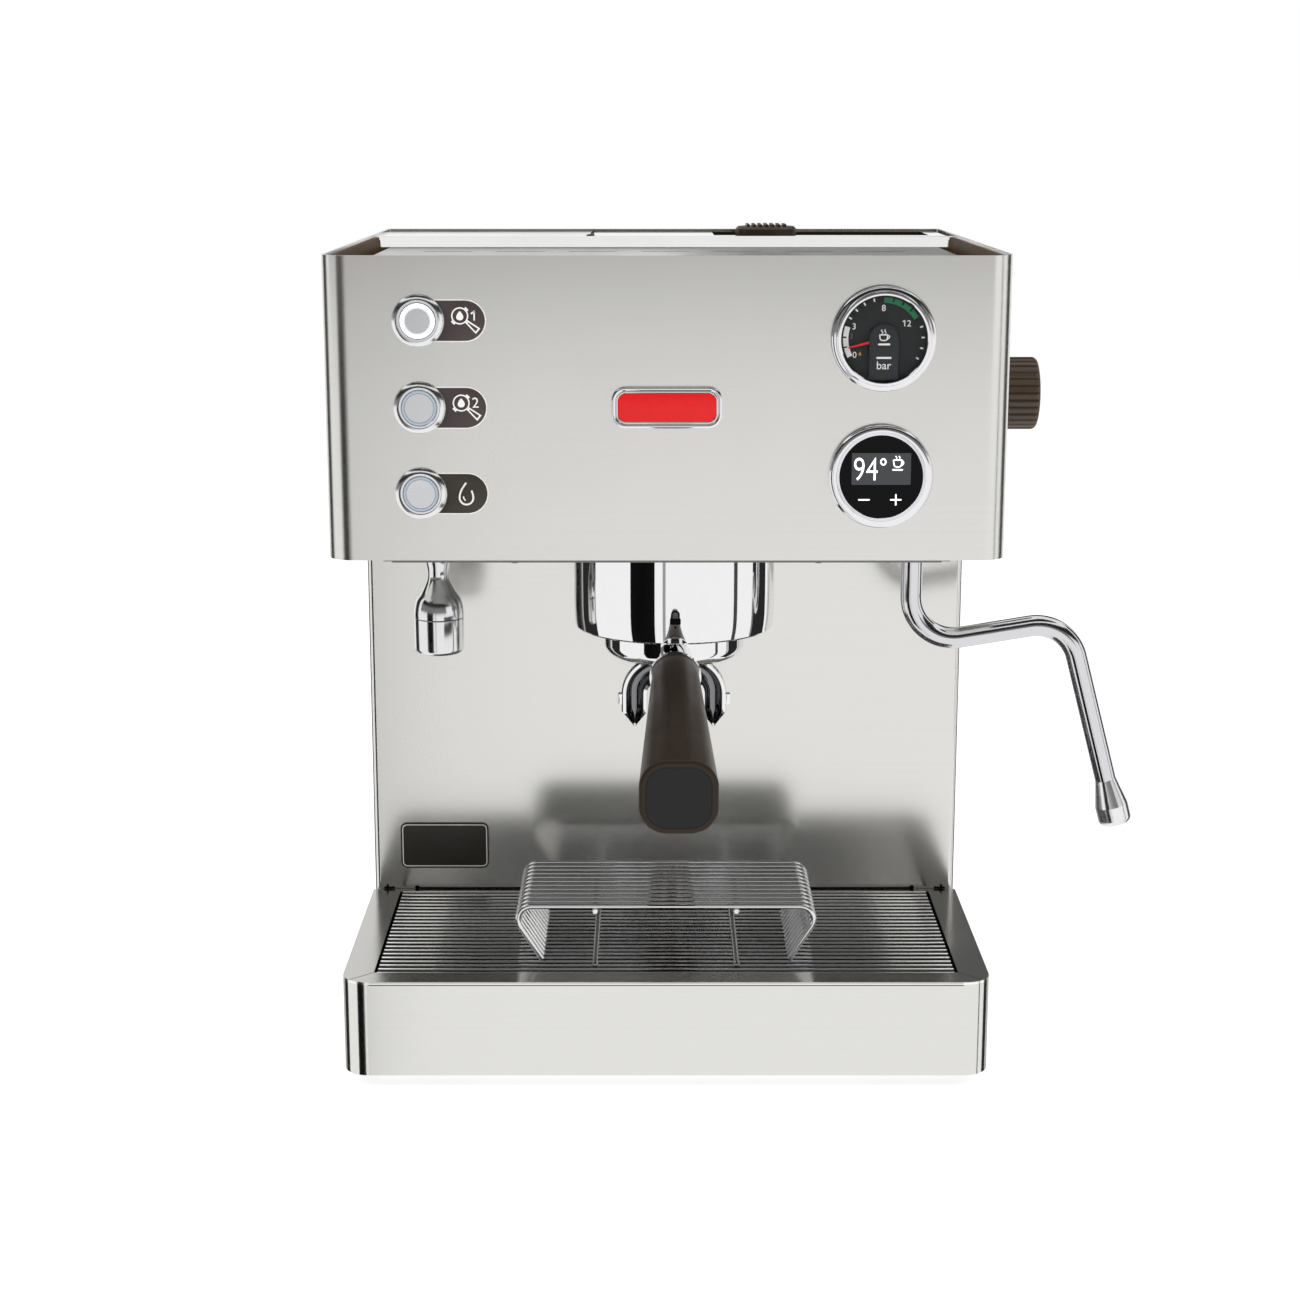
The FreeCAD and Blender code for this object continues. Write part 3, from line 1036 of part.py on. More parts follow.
def make_steam_valve():
    """Steam valve on the right wall, its spindle and the fluted knob."""
    wall = HALF - SHEET
    valve_left = WAND_X - VALVE_RADIUS
    seat = HALF + KNOB_GAP - SPINDLE_REACH
    body = rod(Vector(valve_left, VALVE_Y, VALVE_Z), RIGHT, VALVE_RADIUS, wall - valve_left)
    ports = []
    for way in (-1, 1):
        ports.append(rod(Vector(WAND_X, VALVE_Y, VALVE_Z), REARWARD * way, VALVE_PORT_RADIUS,
                         VALVE_RADIUS + VALVE_PORT_LENGTH))
    bore = rod(Vector(seat - SHOW_GAP, VALVE_Y, VALVE_Z), RIGHT, SPINDLE_RADIUS + RUNNING_FIT, BODY_WIDTH)
    export("steam_valve", joined([body] + ports).cut(bore))

    spindle_end = HALF + KNOB_GAP + KNOB_LENGTH / 2
    export("valve_spindle", rod(Vector(seat, VALVE_Y, VALVE_Z), RIGHT, SPINDLE_RADIUS, spindle_end - seat))

    turn = KNOB_EDGE * (1 - math.sqrt(0.5))
    socket = SPINDLE_RADIUS + SLIP
    socket_depth = KNOB_LENGTH / 2 + SHOW_GAP
    steps = [
        (KNOB_BACK_RADIUS, 0), (KNOB_RADIUS, KNOB_CHAMFER), (KNOB_RADIUS, KNOB_LENGTH - KNOB_EDGE),
        ((KNOB_RADIUS - turn, KNOB_LENGTH - turn), (KNOB_RADIUS - KNOB_EDGE, KNOB_LENGTH)), (0, KNOB_LENGTH),
        (0, socket_depth), (socket, socket_depth),
    ]
    knob_base = Vector(HALF + KNOB_GAP, VALVE_Y, VALVE_Z)
    knob = turned((socket, 0), steps, knob_base, RIGHT)
    root = KNOB_RADIUS - KNOB_FLUTE_DEPTH
    lip = KNOB_RADIUS + OVERCUT
    half = KNOB_FLUTE_WIDTH / 2 * (lip - root) / KNOB_FLUTE_DEPTH
    groove = outline((0, root), [(half, lip), (-half, lip)], lambda a, b: knob_base + Vector(-OVERCUT, a, b))
    groove = groove.extrude(RIGHT * (KNOB_LENGTH + 2 * OVERCUT))
    flutes = []
    for index in range(KNOB_FLUTES):
        flute = groove.copy()
        flute.rotate(knob_base, RIGHT, 360 * index / KNOB_FLUTES)
        flutes.append(flute)
    export("steam_knob", knob.cut(flutes))


def make_drip_tray():
    """Pull-out tray: bent skirt, top frame and basin."""
    skirt = wrap(TRAY_HALF, TRAY_FRONT, TRAY_BACK, GROUND_GAP, FRAME_BOTTOM, TRAY_CORNER_RADIUS, TRAY_SHEET)
    export("tray_skirt", skirt)

    frame = front_rounded_block(TRAY_HALF, TRAY_FRONT, TRAY_BACK, FRAME_BOTTOM, TRAY_TOP, TRAY_CORNER_RADIUS)
    window = block(-WINDOW_HALF, WINDOW_HALF, WINDOW_FRONT, WINDOW_BACK,
                   FRAME_BOTTOM - OVERCUT, TRAY_TOP + OVERCUT)
    export("tray_frame", frame.cut(window))

    bottom = BASE_TOP + BASIN_FLOAT
    inner_half = WINDOW_HALF + SHOW_GAP
    inner_front = WINDOW_FRONT - SHOW_GAP
    inner_back = WINDOW_BACK + SHOW_GAP
    outer = rounded_block(-inner_half - BASIN_WALL, inner_half + BASIN_WALL, inner_front - BASIN_WALL,
                          inner_back + BASIN_WALL, bottom, FRAME_BOTTOM, BASIN_LEDGE)
    upper = block(-inner_half, inner_half, inner_front, inner_back, LEDGE_TOP, FRAME_BOTTOM + OVERCUT)
    lower = block(-inner_half, inner_half, inner_front + BASIN_LEDGE, inner_back - BASIN_LEDGE,
                  bottom + BASIN_WALL, FRAME_BOTTOM)
    export("drip_basin", outer.cut([upper, lower]))


def make_drip_grid():
    """Lift-out grid of cross wires welded to rods, with two bars on top."""
    half = WINDOW_HALF - GRID_GAP
    first = WINDOW_FRONT + GRID_GAP + WIRE_RADIUS
    last = WINDOW_BACK - GRID_GAP - WIRE_RADIUS
    pitch = (last - first) / (GRID_WIRES - 1)
    wire_z = GRID_TOP - WIRE_RADIUS
    pieces = []
    for index in range(GRID_WIRES):
        y = first + index * pitch
        pieces.append(wire([Vector(-half, y, wire_z), Vector(half, y, wire_z)], WIRE_RADIUS))
    for x in (-GRID_ROD_SPREAD, GRID_ROD_SPREAD):
        ends = [Vector(x, first - WIRE_RADIUS, GRID_ROD_Z), Vector(x, last + WIRE_RADIUS, GRID_ROD_Z)]
        pieces.append(wire(ends, GRID_ROD_RADIUS))
    bar_z = GRID_TOP + WIRE_RADIUS - WELD
    for x in (-GRID_BAR_SPREAD, GRID_BAR_SPREAD):
        ends = [Vector(x, first + GRID_BAR_SETBACK, bar_z), Vector(x, last + WIRE_RADIUS, bar_z)]
        pieces.append(wire(ends, WIRE_RADIUS))
    export("drip_grid", joined(pieces))


def make_cup_stand():
    """Arched wire stand for small cups, resting on the grid."""
    top_z = STAND_TOP - WIRE_RADIUS
    foot_z = GRID_TOP + SLIP
    pitch = (STAND_DEPTH - 2 * WIRE_RADIUS) / (STAND_WIRES - 1)
    first = FRONT + STAND_SETBACK + WIRE_RADIUS
    pieces = []
    for index in range(STAND_WIRES):
        y = first + index * pitch
        points = [Vector(-STAND_FOOT_HALF, y, foot_z), Vector(-STAND_TOP_HALF, y, top_z),
                  Vector(STAND_TOP_HALF, y, top_z), Vector(STAND_FOOT_HALF, y, foot_z)]
        pieces.append(wire(points, WIRE_RADIUS, STAND_BEND))
    rod_z = top_z - 2 * WIRE_RADIUS + WELD
    for x in (-STAND_ROD_SPREAD, STAND_ROD_SPREAD):
        start = Vector(x, first - WIRE_RADIUS, rod_z)
        pieces.append(wire([start, start + REARWARD * STAND_DEPTH], WIRE_RADIUS))
    stand = joined(pieces)
    below = block(-HALF, HALF, FRONT, BACK, 0, foot_z)
    export("cup_stand", stand.cut(below))


def make_buttons():
    """Round metal push buttons: fixed bezels with barrels, and the moving caps."""
    nut = BUTTON_BARREL_RADIUS + BUTTON_NUT_WALL
    floor = BUTTON_BARREL_LENGTH - BUTTON_BARREL_WALL
    nut_end = SHEET + BUTTON_NUT_LENGTH
    face = -BUTTON_PROUD
    steps = [
        (BUTTON_BEZEL_RADIUS - BUTTON_EDGE, face), (BUTTON_BEZEL_RADIUS, face + BUTTON_EDGE),
        (BUTTON_BEZEL_RADIUS, 0), (BUTTON_BARREL_RADIUS, 0), (BUTTON_BARREL_RADIUS, SHEET), (nut, SHEET),
        (nut, nut_end), (BUTTON_BARREL_RADIUS, nut_end), (BUTTON_BARREL_RADIUS, BUTTON_BARREL_LENGTH),
        (0, BUTTON_BARREL_LENGTH), (0, floor), (BUTTON_BORE, floor),
    ]
    centres = [Vector(BUTTON_X, FRONT, z) for z in BUTTON_ROWS]
    bezels = [turned((BUTTON_BORE, face), steps, centre, REARWARD) for centre in centres]
    export("button_bezels", Part.makeCompound(bezels))

    rim = face + BUTTON_RECESS
    edge = BUTTON_CAP_RADIUS - BUTTON_EDGE
    cap_end = rim + BUTTON_CAP_LENGTH
    names = ("one_cup_button", "two_cup_button", "water_button")
    for name, centre in zip(names, centres):
        steps = [((edge / 2, rim + BUTTON_DISH * 0.75), (edge, rim)),
                 (BUTTON_CAP_RADIUS, rim + BUTTON_EDGE / 2), (BUTTON_CAP_RADIUS, cap_end), (0, cap_end)]
        export(name, turned((0, rim + BUTTON_DISH), steps, centre, REARWARD))


def make_gauge():
    """Pressure gauge: case with bezel, dial with its pin, needle and glass."""
    cavity = GAUGE_DIAL_RADIUS + SLIP
    lip = GAUGE_DIAL_RADIUS - GAUGE_LIP
    glass_back = -GAUGE_PROUD + GAUGE_LIP + GAUGE_GLASS
    dial_face = glass_back + 2 * NEEDLE_LIFT + NEEDLE_SHEET
    floor = dial_face + GAUGE_DIAL_SHEET
    face = -GAUGE_PROUD
    steps = [
        (GAUGE_RADIUS - GAUGE_EDGE, face), (GAUGE_RADIUS, face + GAUGE_EDGE), (GAUGE_RADIUS, 0),
        (GAUGE_BARREL_RADIUS, 0), (GAUGE_BARREL_RADIUS, GAUGE_BARREL_LENGTH), (0, GAUGE_BARREL_LENGTH),
        (0, floor), (cavity, floor), (cavity, face + GAUGE_LIP), (lip, face + GAUGE_LIP),
    ]
    export("gauge_case", turned((lip, face), steps, GAUGE_CENTRE, REARWARD))

    pin_top = dial_face - NEEDLE_LIFT - NEEDLE_SHEET
    steps = [(NEEDLE_PIN_RADIUS, pin_top), (NEEDLE_PIN_RADIUS, dial_face), (GAUGE_DIAL_RADIUS, dial_face),
             (GAUGE_DIAL_RADIUS, floor), (0, floor)]
    export("gauge_dial", turned((0, pin_top), steps, GAUGE_CENTRE, REARWARD))

    front = GAUGE_CENTRE + REARWARD * pin_top
    root = NEEDLE_ROOT_WIDTH / 2
    tip = NEEDLE_TIP_WIDTH / 2
    steps = [(0, -root), (NEEDLE_LENGTH, -tip), (NEEDLE_LENGTH, tip), (0, root), (-NEEDLE_TAIL, root)]
    blade = outline((-NEEDLE_TAIL, -root), steps, lambda a, b: front + Vector(a, 0, b))
    blade = blade.extrude(REARWARD * NEEDLE_SHEET)
    hub = rod(front, REARWARD, NEEDLE_HUB_RADIUS, NEEDLE_SHEET)
    pin_hole = rod(front - REARWARD * OVERCUT, REARWARD, NEEDLE_PIN_RADIUS + RUNNING_FIT,
                   NEEDLE_SHEET + 2 * OVERCUT)
    needle = joined([blade, hub]).cut(pin_hole)
    needle.rotate(front, Vector(0, -1, 0), NEEDLE_REST_ANGLE)
    export("gauge_needle", needle)

    glass_front = GAUGE_CENTRE + REARWARD * (-GAUGE_PROUD + GAUGE_LIP)
    export("gauge_glass", rod(glass_front, REARWARD, GAUGE_DIAL_RADIUS, GAUGE_GLASS))


def make_display():
    """Round temperature display: bezel with its barrel, and the dark glass."""
    cavity = DISPLAY_GLASS_RADIUS + SLIP
    glass_face = -DISPLAY_PROUD + DISPLAY_GLASS_RECESS
    steps = [
        (DISPLAY_RADIUS - DISPLAY_EDGE, -DISPLAY_PROUD), (DISPLAY_RADIUS, -DISPLAY_PROUD + DISPLAY_EDGE),
        (DISPLAY_RADIUS, 0), (DISPLAY_BARREL_RADIUS, 0), (DISPLAY_BARREL_RADIUS, DISPLAY_BARREL_LENGTH),
        (0, DISPLAY_BARREL_LENGTH), (0, SHEET), (cavity, SHEET),
    ]
    export("display_bezel", turned((cavity, -DISPLAY_PROUD), steps, DISPLAY_CENTRE, REARWARD))
    export("display_glass", rod(DISPLAY_CENTRE + REARWARD * glass_face, REARWARD, DISPLAY_GLASS_RADIUS,
                                SHEET - glass_face))


def make_boilers():
    """Brew boiler on the group, and the steam boiler on its stand in the column."""
    axis = Vector(GROUP_OFFSET, GROUP_Y, BREW_BOILER_BOTTOM)
    flange = BREW_BOILER_RADIUS + BOILER_FLANGE
    top = BREW_BOILER_HEIGHT
    steps = [
        (flange, 0), (flange, BOILER_FLANGE_HEIGHT), (BREW_BOILER_RADIUS, BOILER_FLANGE_HEIGHT),
        (BREW_BOILER_RADIUS, top - BOILER_DOME), (BREW_BOILER_RADIUS - BOILER_DOME, top), (0, top),
    ]
    nipple = rod(Vector(BREW_RISER_X, GROUP_Y, BREW_PORT_Z), REARWARD, NIPPLE_RADIUS, BREW_PORT_Y - GROUP_Y)
    export("brew_boiler", joined([turned((0, 0), steps, axis), nipple]))

    base = Vector(STEAM_BOILER_X, STEAM_BOILER_Y, STEAM_BOILER_BOTTOM)
    top = STEAM_BOILER_HEIGHT
    steps = [(STEAM_BOILER_RADIUS, 0), (STEAM_BOILER_RADIUS, top - BOILER_DOME),
             (STEAM_BOILER_RADIUS - BOILER_DOME, top), (0, top)]
    export("steam_boiler", turned((0, 0), steps, base))


def make_pump():
    """Vibration pump on rubber mounts, the brew solenoid and the control board."""
    half_length = PUMP_COIL_LENGTH / 2
    half_width = PUMP_COIL_WIDTH / 2
    coil = block(PUMP_CENTRE_X - half_length, PUMP_CENTRE_X + half_length, PUMP_Y - half_width,
                 PUMP_Y + half_width, PUMP_BOTTOM, PUMP_BOTTOM + PUMP_COIL_HEIGHT)
    barrel = rod(Vector(PUMP_LEFT, PUMP_Y, PUMP_AXIS_Z), RIGHT, PUMP_END_RADIUS, PUMP_RIGHT - PUMP_LEFT)
    export("pump", joined([coil, barrel]))

    mounts = []
    waist_z = PUMP_MOUNT_HEIGHT / 2
    for way in (-1, 1):
        base = Vector(PUMP_CENTRE_X + way * PUMP_MOUNT_SPREAD, PUMP_Y, BASE_TOP)
        steps = [(PUMP_MOUNT_RADIUS, 0), (PUMP_MOUNT_WAIST, waist_z), (PUMP_MOUNT_RADIUS, PUMP_MOUNT_HEIGHT),
                 (0, PUMP_MOUNT_HEIGHT)]
        mounts.append(turned((0, 0), steps, base))
    export("pump_mounts", Part.makeCompound(mounts))

    x = GROUP_OFFSET - SOLENOID_OFFSET
    half = SOLENOID_SIZE / 2
    coil = block(x - half, x + half, GROUP_Y - half, GROUP_Y + half,
                 HEAD_BOTTOM, HEAD_BOTTOM + SOLENOID_HEIGHT)
    stem = rod(Vector(x, GROUP_Y, HEAD_BOTTOM + SOLENOID_HEIGHT / 2), UP, SOLENOID_STEM_RADIUS,
               SOLENOID_HEIGHT / 2 + SOLENOID_STEM_RISE)
    export("solenoid_valve", joined([coil, stem]))

    wall = BACKSPLASH + SHEET
    left = BOARD_CENTRE_X - BOARD_WIDTH / 2
    right = BOARD_CENTRE_X + BOARD_WIDTH / 2
    top = BOARD_BOTTOM + BOARD_HEIGHT
    sheet_front = wall + BOARD_STANDOFF
    sheet_back = sheet_front + BOARD_SHEET
    pieces = [block(left, right, sheet_front, sheet_back, BOARD_BOTTOM, top)]
    inset = 2 * BOARD_STANDOFF_RADIUS
    for x in (left + inset, right - inset):
        for z in (BOARD_BOTTOM + inset, top - inset):
            pieces.append(rod(Vector(x, wall, z), REARWARD, BOARD_STANDOFF_RADIUS,
                              BOARD_STANDOFF + BOARD_SHEET / 2))
    quarter = BOARD_WIDTH / 4
    block_depth = 2 * BOARD_STANDOFF
    for index in range(3):
        relay_left = left + inset + index * quarter
        pieces.append(block(relay_left, relay_left + quarter * 0.7, sheet_back, sheet_back + block_depth,
                            BOARD_BOTTOM + inset * 2, BOARD_BOTTOM + inset * 2 + quarter * 0.6))
    can = Vector(right - quarter * 0.5, sheet_back, top - quarter)
    pieces.append(rod(can, REARWARD, BOARD_STANDOFF, block_depth))
    export("control_board", joined(pieces))


def make_pipes():
    """Hose from the tank to the pump, and the pipes between pump, boilers, valve and wand."""
    dock_foot = Vector(TANK_SPIGOT_X, TANK_MIDDLE_Y, DOCK_BOTTOM)
    pump_in = Vector(PUMP_RIGHT, PUMP_Y, PUMP_AXIS_Z)
    points = [dock_foot, Vector(dock_foot.x, dock_foot.y, PUMP_AXIS_Z),
              Vector(dock_foot.x, PUMP_Y, PUMP_AXIS_Z), pump_in]
    export("suction_hose", tube(points, HOSE_BEND, HOSE_RADIUS))

    pump_out = Vector(PUMP_LEFT, PUMP_Y, PUMP_AXIS_Z)
    points = [pump_out, Vector(BREW_RISER_X, PUMP_Y, PUMP_AXIS_Z), Vector(BREW_RISER_X, PUMP_Y, BREW_PORT_Z),
              Vector(BREW_RISER_X, BREW_PORT_Y, BREW_PORT_Z)]
    export("brew_pipe", tube(points, PIPE_BEND, PIPE_RADIUS))

    pipe_y = BACKSPLASH + STEAM_PIPE_SETBACK
    valve_in = Vector(WAND_X, VALVE_Y + VALVE_RADIUS + VALVE_PORT_LENGTH, VALVE_Z)
    points = [Vector(STEAM_BOILER_X, pipe_y, STEAM_BOILER_TOP), Vector(STEAM_BOILER_X, pipe_y, VALVE_Z),
              Vector(WAND_X, pipe_y, VALVE_Z), valve_in]
    export("steam_pipe", tube(points, PIPE_BEND, PIPE_RADIUS))

    valve_out = Vector(WAND_X, VALVE_Y - VALVE_RADIUS - VALVE_PORT_LENGTH, VALVE_Z)
    points = [valve_out, Vector(WAND_X, WAND_Y, VALVE_Z),
              Vector(WAND_X, WAND_Y, HEAD_BOTTOM + WAND_SOCKET_RISE)]
    export("wand_pipe", tube(points, PIPE_BEND, PIPE_RADIUS))

    pipe_z = HEAD_BOTTOM + WATER_PIPE_RISE
    boiler_top_y = STEAM_BOILER_Y + STEAM_BOILER_RADIUS / 4
    points = [Vector(WATER_X, WATER_Y, HEAD_BOTTOM + WATER_STUD_RISE), Vector(WATER_X, WATER_Y, pipe_z),
              Vector(WATER_X, boiler_top_y, pipe_z), Vector(WATER_X, boiler_top_y, STEAM_BOILER_TOP)]
    export("water_pipe", tube(points, PIPE_BEND, PIPE_RADIUS))


def main():
    """Build every sub-part of the machine."""
    os.makedirs("parts", exist_ok=True)
    make_base()
    make_column()
    make_rear_fittings()
    make_head_casing()
    make_cup_deck()
    make_rear_deck()
    make_water_tank()
    make_group()
    make_portafilter()
    make_water_spout()
    make_steam_wand()
    make_steam_valve()
    make_drip_tray()
    make_drip_grid()
    make_cup_stand()
    make_buttons()
    make_gauge()
    make_display()
    make_boilers()
    make_pump()
    make_pipes()


main()
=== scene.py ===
import logging
import math
from dataclasses import dataclass, field
from enum import Enum
from typing import Callable, Iterable, Sequence

import bmesh
import bpy
from mathutils import Matrix, Vector


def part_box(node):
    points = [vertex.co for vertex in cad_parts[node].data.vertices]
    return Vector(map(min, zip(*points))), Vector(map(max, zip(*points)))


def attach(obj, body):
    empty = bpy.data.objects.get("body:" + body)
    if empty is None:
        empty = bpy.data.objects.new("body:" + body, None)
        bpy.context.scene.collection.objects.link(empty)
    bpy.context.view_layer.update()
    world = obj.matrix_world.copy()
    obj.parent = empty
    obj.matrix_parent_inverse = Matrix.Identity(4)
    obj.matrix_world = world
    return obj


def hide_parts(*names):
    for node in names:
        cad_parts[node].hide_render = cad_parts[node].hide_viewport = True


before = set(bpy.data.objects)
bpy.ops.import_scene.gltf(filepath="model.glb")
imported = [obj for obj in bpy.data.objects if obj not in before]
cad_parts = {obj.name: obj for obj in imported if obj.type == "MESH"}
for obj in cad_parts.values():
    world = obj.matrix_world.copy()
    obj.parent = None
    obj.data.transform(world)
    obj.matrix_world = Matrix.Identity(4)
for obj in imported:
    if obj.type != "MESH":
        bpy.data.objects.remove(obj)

# Espresso machine: finishes, trim, camera and studio light.
# Lengths are in millimetres of the machine's frame until a piece is added, which turns them to metres.

LOG = logging.getLogger("espresso_machine")
MM = 0.001

# Places that several pieces share.
PANEL_FACE = -139.0
BUTTON_X = -107.6
BUTTON_HEIGHTS = (352.2, 314.6, 277.0)
GROUP_AXIS = (4.0, -77.0)
DOWN = Vector((0, 0, -1))
BACKWARD = Vector((0, 1, 0))

# Fineness and edges of the meshes.
SHARP_ANGLE = 32.0
SLIM_RADIUS = 0.02
FINE_SEGMENTS = 128
STROKE_SIDES = 8
WIRE_EASE = 0.3
BEVEL_SEGMENTS = 2
BEVEL_PROFILE = 0.6
FIGURE_STEPS = 4
RING_EDGE_STEPS = 3
DOME_STEPS = 8
DROP_FULLNESS = 0.65
FLAG_ANGLE = 215.0

# Screen colours to linear light, and sockets of the shaders.
SCREEN_STEPS = 255
SCREEN_LINEAR_END = 0.04045
SCREEN_LINEAR_SLOPE = 12.92
SCREEN_OFFSET = 0.055
SCREEN_POWER = 2.4
MIDDLE_VALUES = (0.3, 0.7)
MIX_FACTOR, MIX_ONE, MIX_OTHER, MIX_RESULT = 0, 6, 7, 2

Colour = tuple[float, float, float]
Flat = tuple[float, float]
Cornered = tuple[float, float, float]


class Body(str, Enum):
    """Bodies of the frame that pieces ride on."""

    MACHINE = "machine"
    PORTAFILTER = "portafilter"
    DRIP_TRAY = "drip_tray"
    DRIP_GRID = "drip_grid"
    CUP_STAND = "cup_stand"
    ONE_CUP = "one_cup_button"
    TWO_CUP = "two_cup_button"
    WATER = "water_button"


class Grain(Enum):
    """Waves per metre along X, Y and Z of a metal's grain."""

    UPRIGHT = (9.0, 9.0, 5200.0)
    LEVEL = (9.0, 5200.0, 9.0)
    TURNED = (1500.0, 1500.0, 1500.0)


def tone(code: str) -> Colour:
    """Turn a six-digit screen colour into the linear light that shaders use.

    Args:
        code: Hexadecimal red, green and blue.

    Returns:
        Linear red, green and blue.
    """
    channels = [value / SCREEN_STEPS for value in bytes.fromhex(code)]
    return tuple(c / SCREEN_LINEAR_SLOPE if c <= SCREEN_LINEAR_END
                 else ((c + SCREEN_OFFSET) / (1 + SCREEN_OFFSET)) ** SCREEN_POWER for c in channels)


def around(colour: Colour, share: float) -> tuple[Colour, Colour]:
    """Darker and lighter neighbour of a colour by a share of it."""
    return tuple(c * (1 - share) for c in colour), tuple(min(1.0, c * (1 + share)) for c in colour)


def box_of(node: str) -> tuple[Vector, Vector]:
    """Lowest and highest corner of a solid of the frame, in millimetres."""
    low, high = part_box(node)
    return Vector(low) / MM, Vector(high) / MM


def facing_front(x: float, y: float, z: float) -> Matrix:
    """Placement whose local X runs right, Y up and Z towards the user."""
    return Matrix.Translation((x, y, z)) @ Matrix.Rotation(math.pi / 2, 4, "X")


def across(x: float) -> Matrix:
    """Placement whose local X runs back, Y up and Z to the right, from a distance along X."""
    return Matrix(((0, 0, 1, x), (1, 0, 0, 0), (0, 1, 0, 0), (0, 0, 0, 1)))


def along(base: Vector, axis: Vector) -> Matrix:
    """Placement at a base point whose local Z runs along an axis."""
    return Matrix.Translation(base) @ axis.to_track_quat("Z", "Y").to_matrix().to_4x4()


def shifted(place: Matrix, x: float = 0.0, y: float = 0.0, z: float = 0.0) -> Matrix:
    """Placement moved along its own axes."""
    return place @ Matrix.Translation((x, y, z))


def heading(angle: float) -> Vector:
    """Flat direction of length one at an angle in degrees."""
    return Vector((math.cos(math.radians(angle)), math.sin(math.radians(angle))))


def arc(radius: float, start: float, end: float, steps: int) -> list[Vector]:
    """Points of a flat arc between two angles in degrees, both ends included."""
    return [heading(start + (end - start) * step / steps) * radius for step in range(steps + 1)]


def spaced(span: Flat, count: int) -> list[float]:
    """Even places from the first end of a span to the other."""
    return [span[0] + (span[1] - span[0]) * index / (count - 1) for index in range(count)]


def flat_box(left: float, low: float, right: float, high: float) -> list[Vector]:
    """Outline of a plain rectangle between two corners."""
    return [Vector((left, low)), Vector((right, low)), Vector((right, high)), Vector((left, high))]


def eased(corners: Sequence[Cornered], closed: bool, steps: int = 6) -> list[Vector]:
    """Round the corners of a flat path.

    Args:
        corners: Points with the radius of the round on each.
        closed: Whether the last point joins the first.
        steps: Short edges in each round.

    Returns:
        Points of the rounded path.
    """
    path = []
    last = len(corners) - 1
    for index, (x, y, radius) in enumerate(corners):
        here = Vector((x, y))
        if radius <= 0 or (not closed and index in (0, last)):
            path.append(here)
            continue
        back = (Vector(corners[index - 1][:2]) - here).normalized()
        onward = (Vector(corners[(index + 1) % len(corners)][:2]) - here).normalized()
        half = math.acos(max(-1.0, min(1.0, back.dot(onward)))) / 2
        centre = here + (back + onward).normalized() * (radius / math.sin(half))
        first = here + back * (radius / math.tan(half)) - centre
        turn = (math.pi - 2 * half) * (1 if back.x * onward.y - back.y * onward.x < 0 else -1)
        for step in range(steps + 1):
            cosine, sine = math.cos(turn * step / steps), math.sin(turn * step / steps)
            spoke = Vector((first.x * cosine - first.y * sine, first.x * sine + first.y * cosine))
            path.append(centre + spoke)
    return path


def rounded_box(width: float, height: float, radius: float, x: float = 0.0, y: float = 0.0) -> list[Vector]:
    """Draw the outline of a rectangle with round corners.

    Args:
        width: Width of the rectangle.
        height: Height of the rectangle.
        radius: Radius of its corners.
        x: Middle of the rectangle, to the right.
        y: Middle of the rectangle, upward.

    Returns:
        Points of the outline.
    """
    a, b = width / 2, height / 2
    corners = [(x - a, y - b, radius), (x + a, y - b, radius), (x + a, y + b, radius), (x - a, y + b, radius)]
    return eased(corners, True)


def arc_band(inner: float, outer: float, start: float, end: float, steps: int = 24) -> list[Vector]:
    """Outline of a band between two radii and two angles in degrees."""
    return arc(outer, start, end, steps) + arc(inner, end, start, steps)


def flowing(points: Sequence[Flat], steps: int = 6) -> list[Vector]:
    """Draw a smooth curve through points of a flat profile.

    Args:
        points: Points to pass through.
        steps: Short edges between neighbours.

    Returns:
        Points along the curve.
    """
    knots = [Vector(p) for p in points]
    ends = [2 * knots[0] - knots[1], *knots, 2 * knots[-1] - knots[-2]]
    curve = []
    for a, b, c, d in zip(ends, ends[1:], ends[2:], ends[3:]):
        for step in range(steps):
            t = step / steps
            bend = (2 * a - 5 * b + 4 * c - d) * t * t + (3 * b - a - 3 * c + d) * t ** 3
            curve.append((2 * b + (c - a) * t + bend) / 2)
    return [*curve, knots[-1]]


def bent(points: Sequence[Vector], bend: float, steps: int = 14) -> list[Vector]:
    """Round the corners of a path in space with arcs of one radius.

    Args:
        points: Corners of the path.
        bend: Radius of every arc.
        steps: Short edges in each arc.

    Returns:
        Points along the rounded path.
    """
    path = [points[0].copy()]
    for before, corner, after in zip(points, points[1:], points[2:]):
        back = (before - corner).normalized()
        onward = (after - corner).normalized()
        half = back.angle(onward) / 2
        centre = corner + (back + onward).normalized() * (bend / math.sin(half))
        first = corner + back * (bend / math.tan(half)) - centre
        axis = first.cross(corner + onward * (bend / math.tan(half)) - centre).normalized()
        turn = math.pi - 2 * half
        for step in range(steps + 1):
            path.append(centre + Matrix.Rotation(turn * step / steps, 3, axis) @ first)
    path.append(points[-1].copy())
    return path


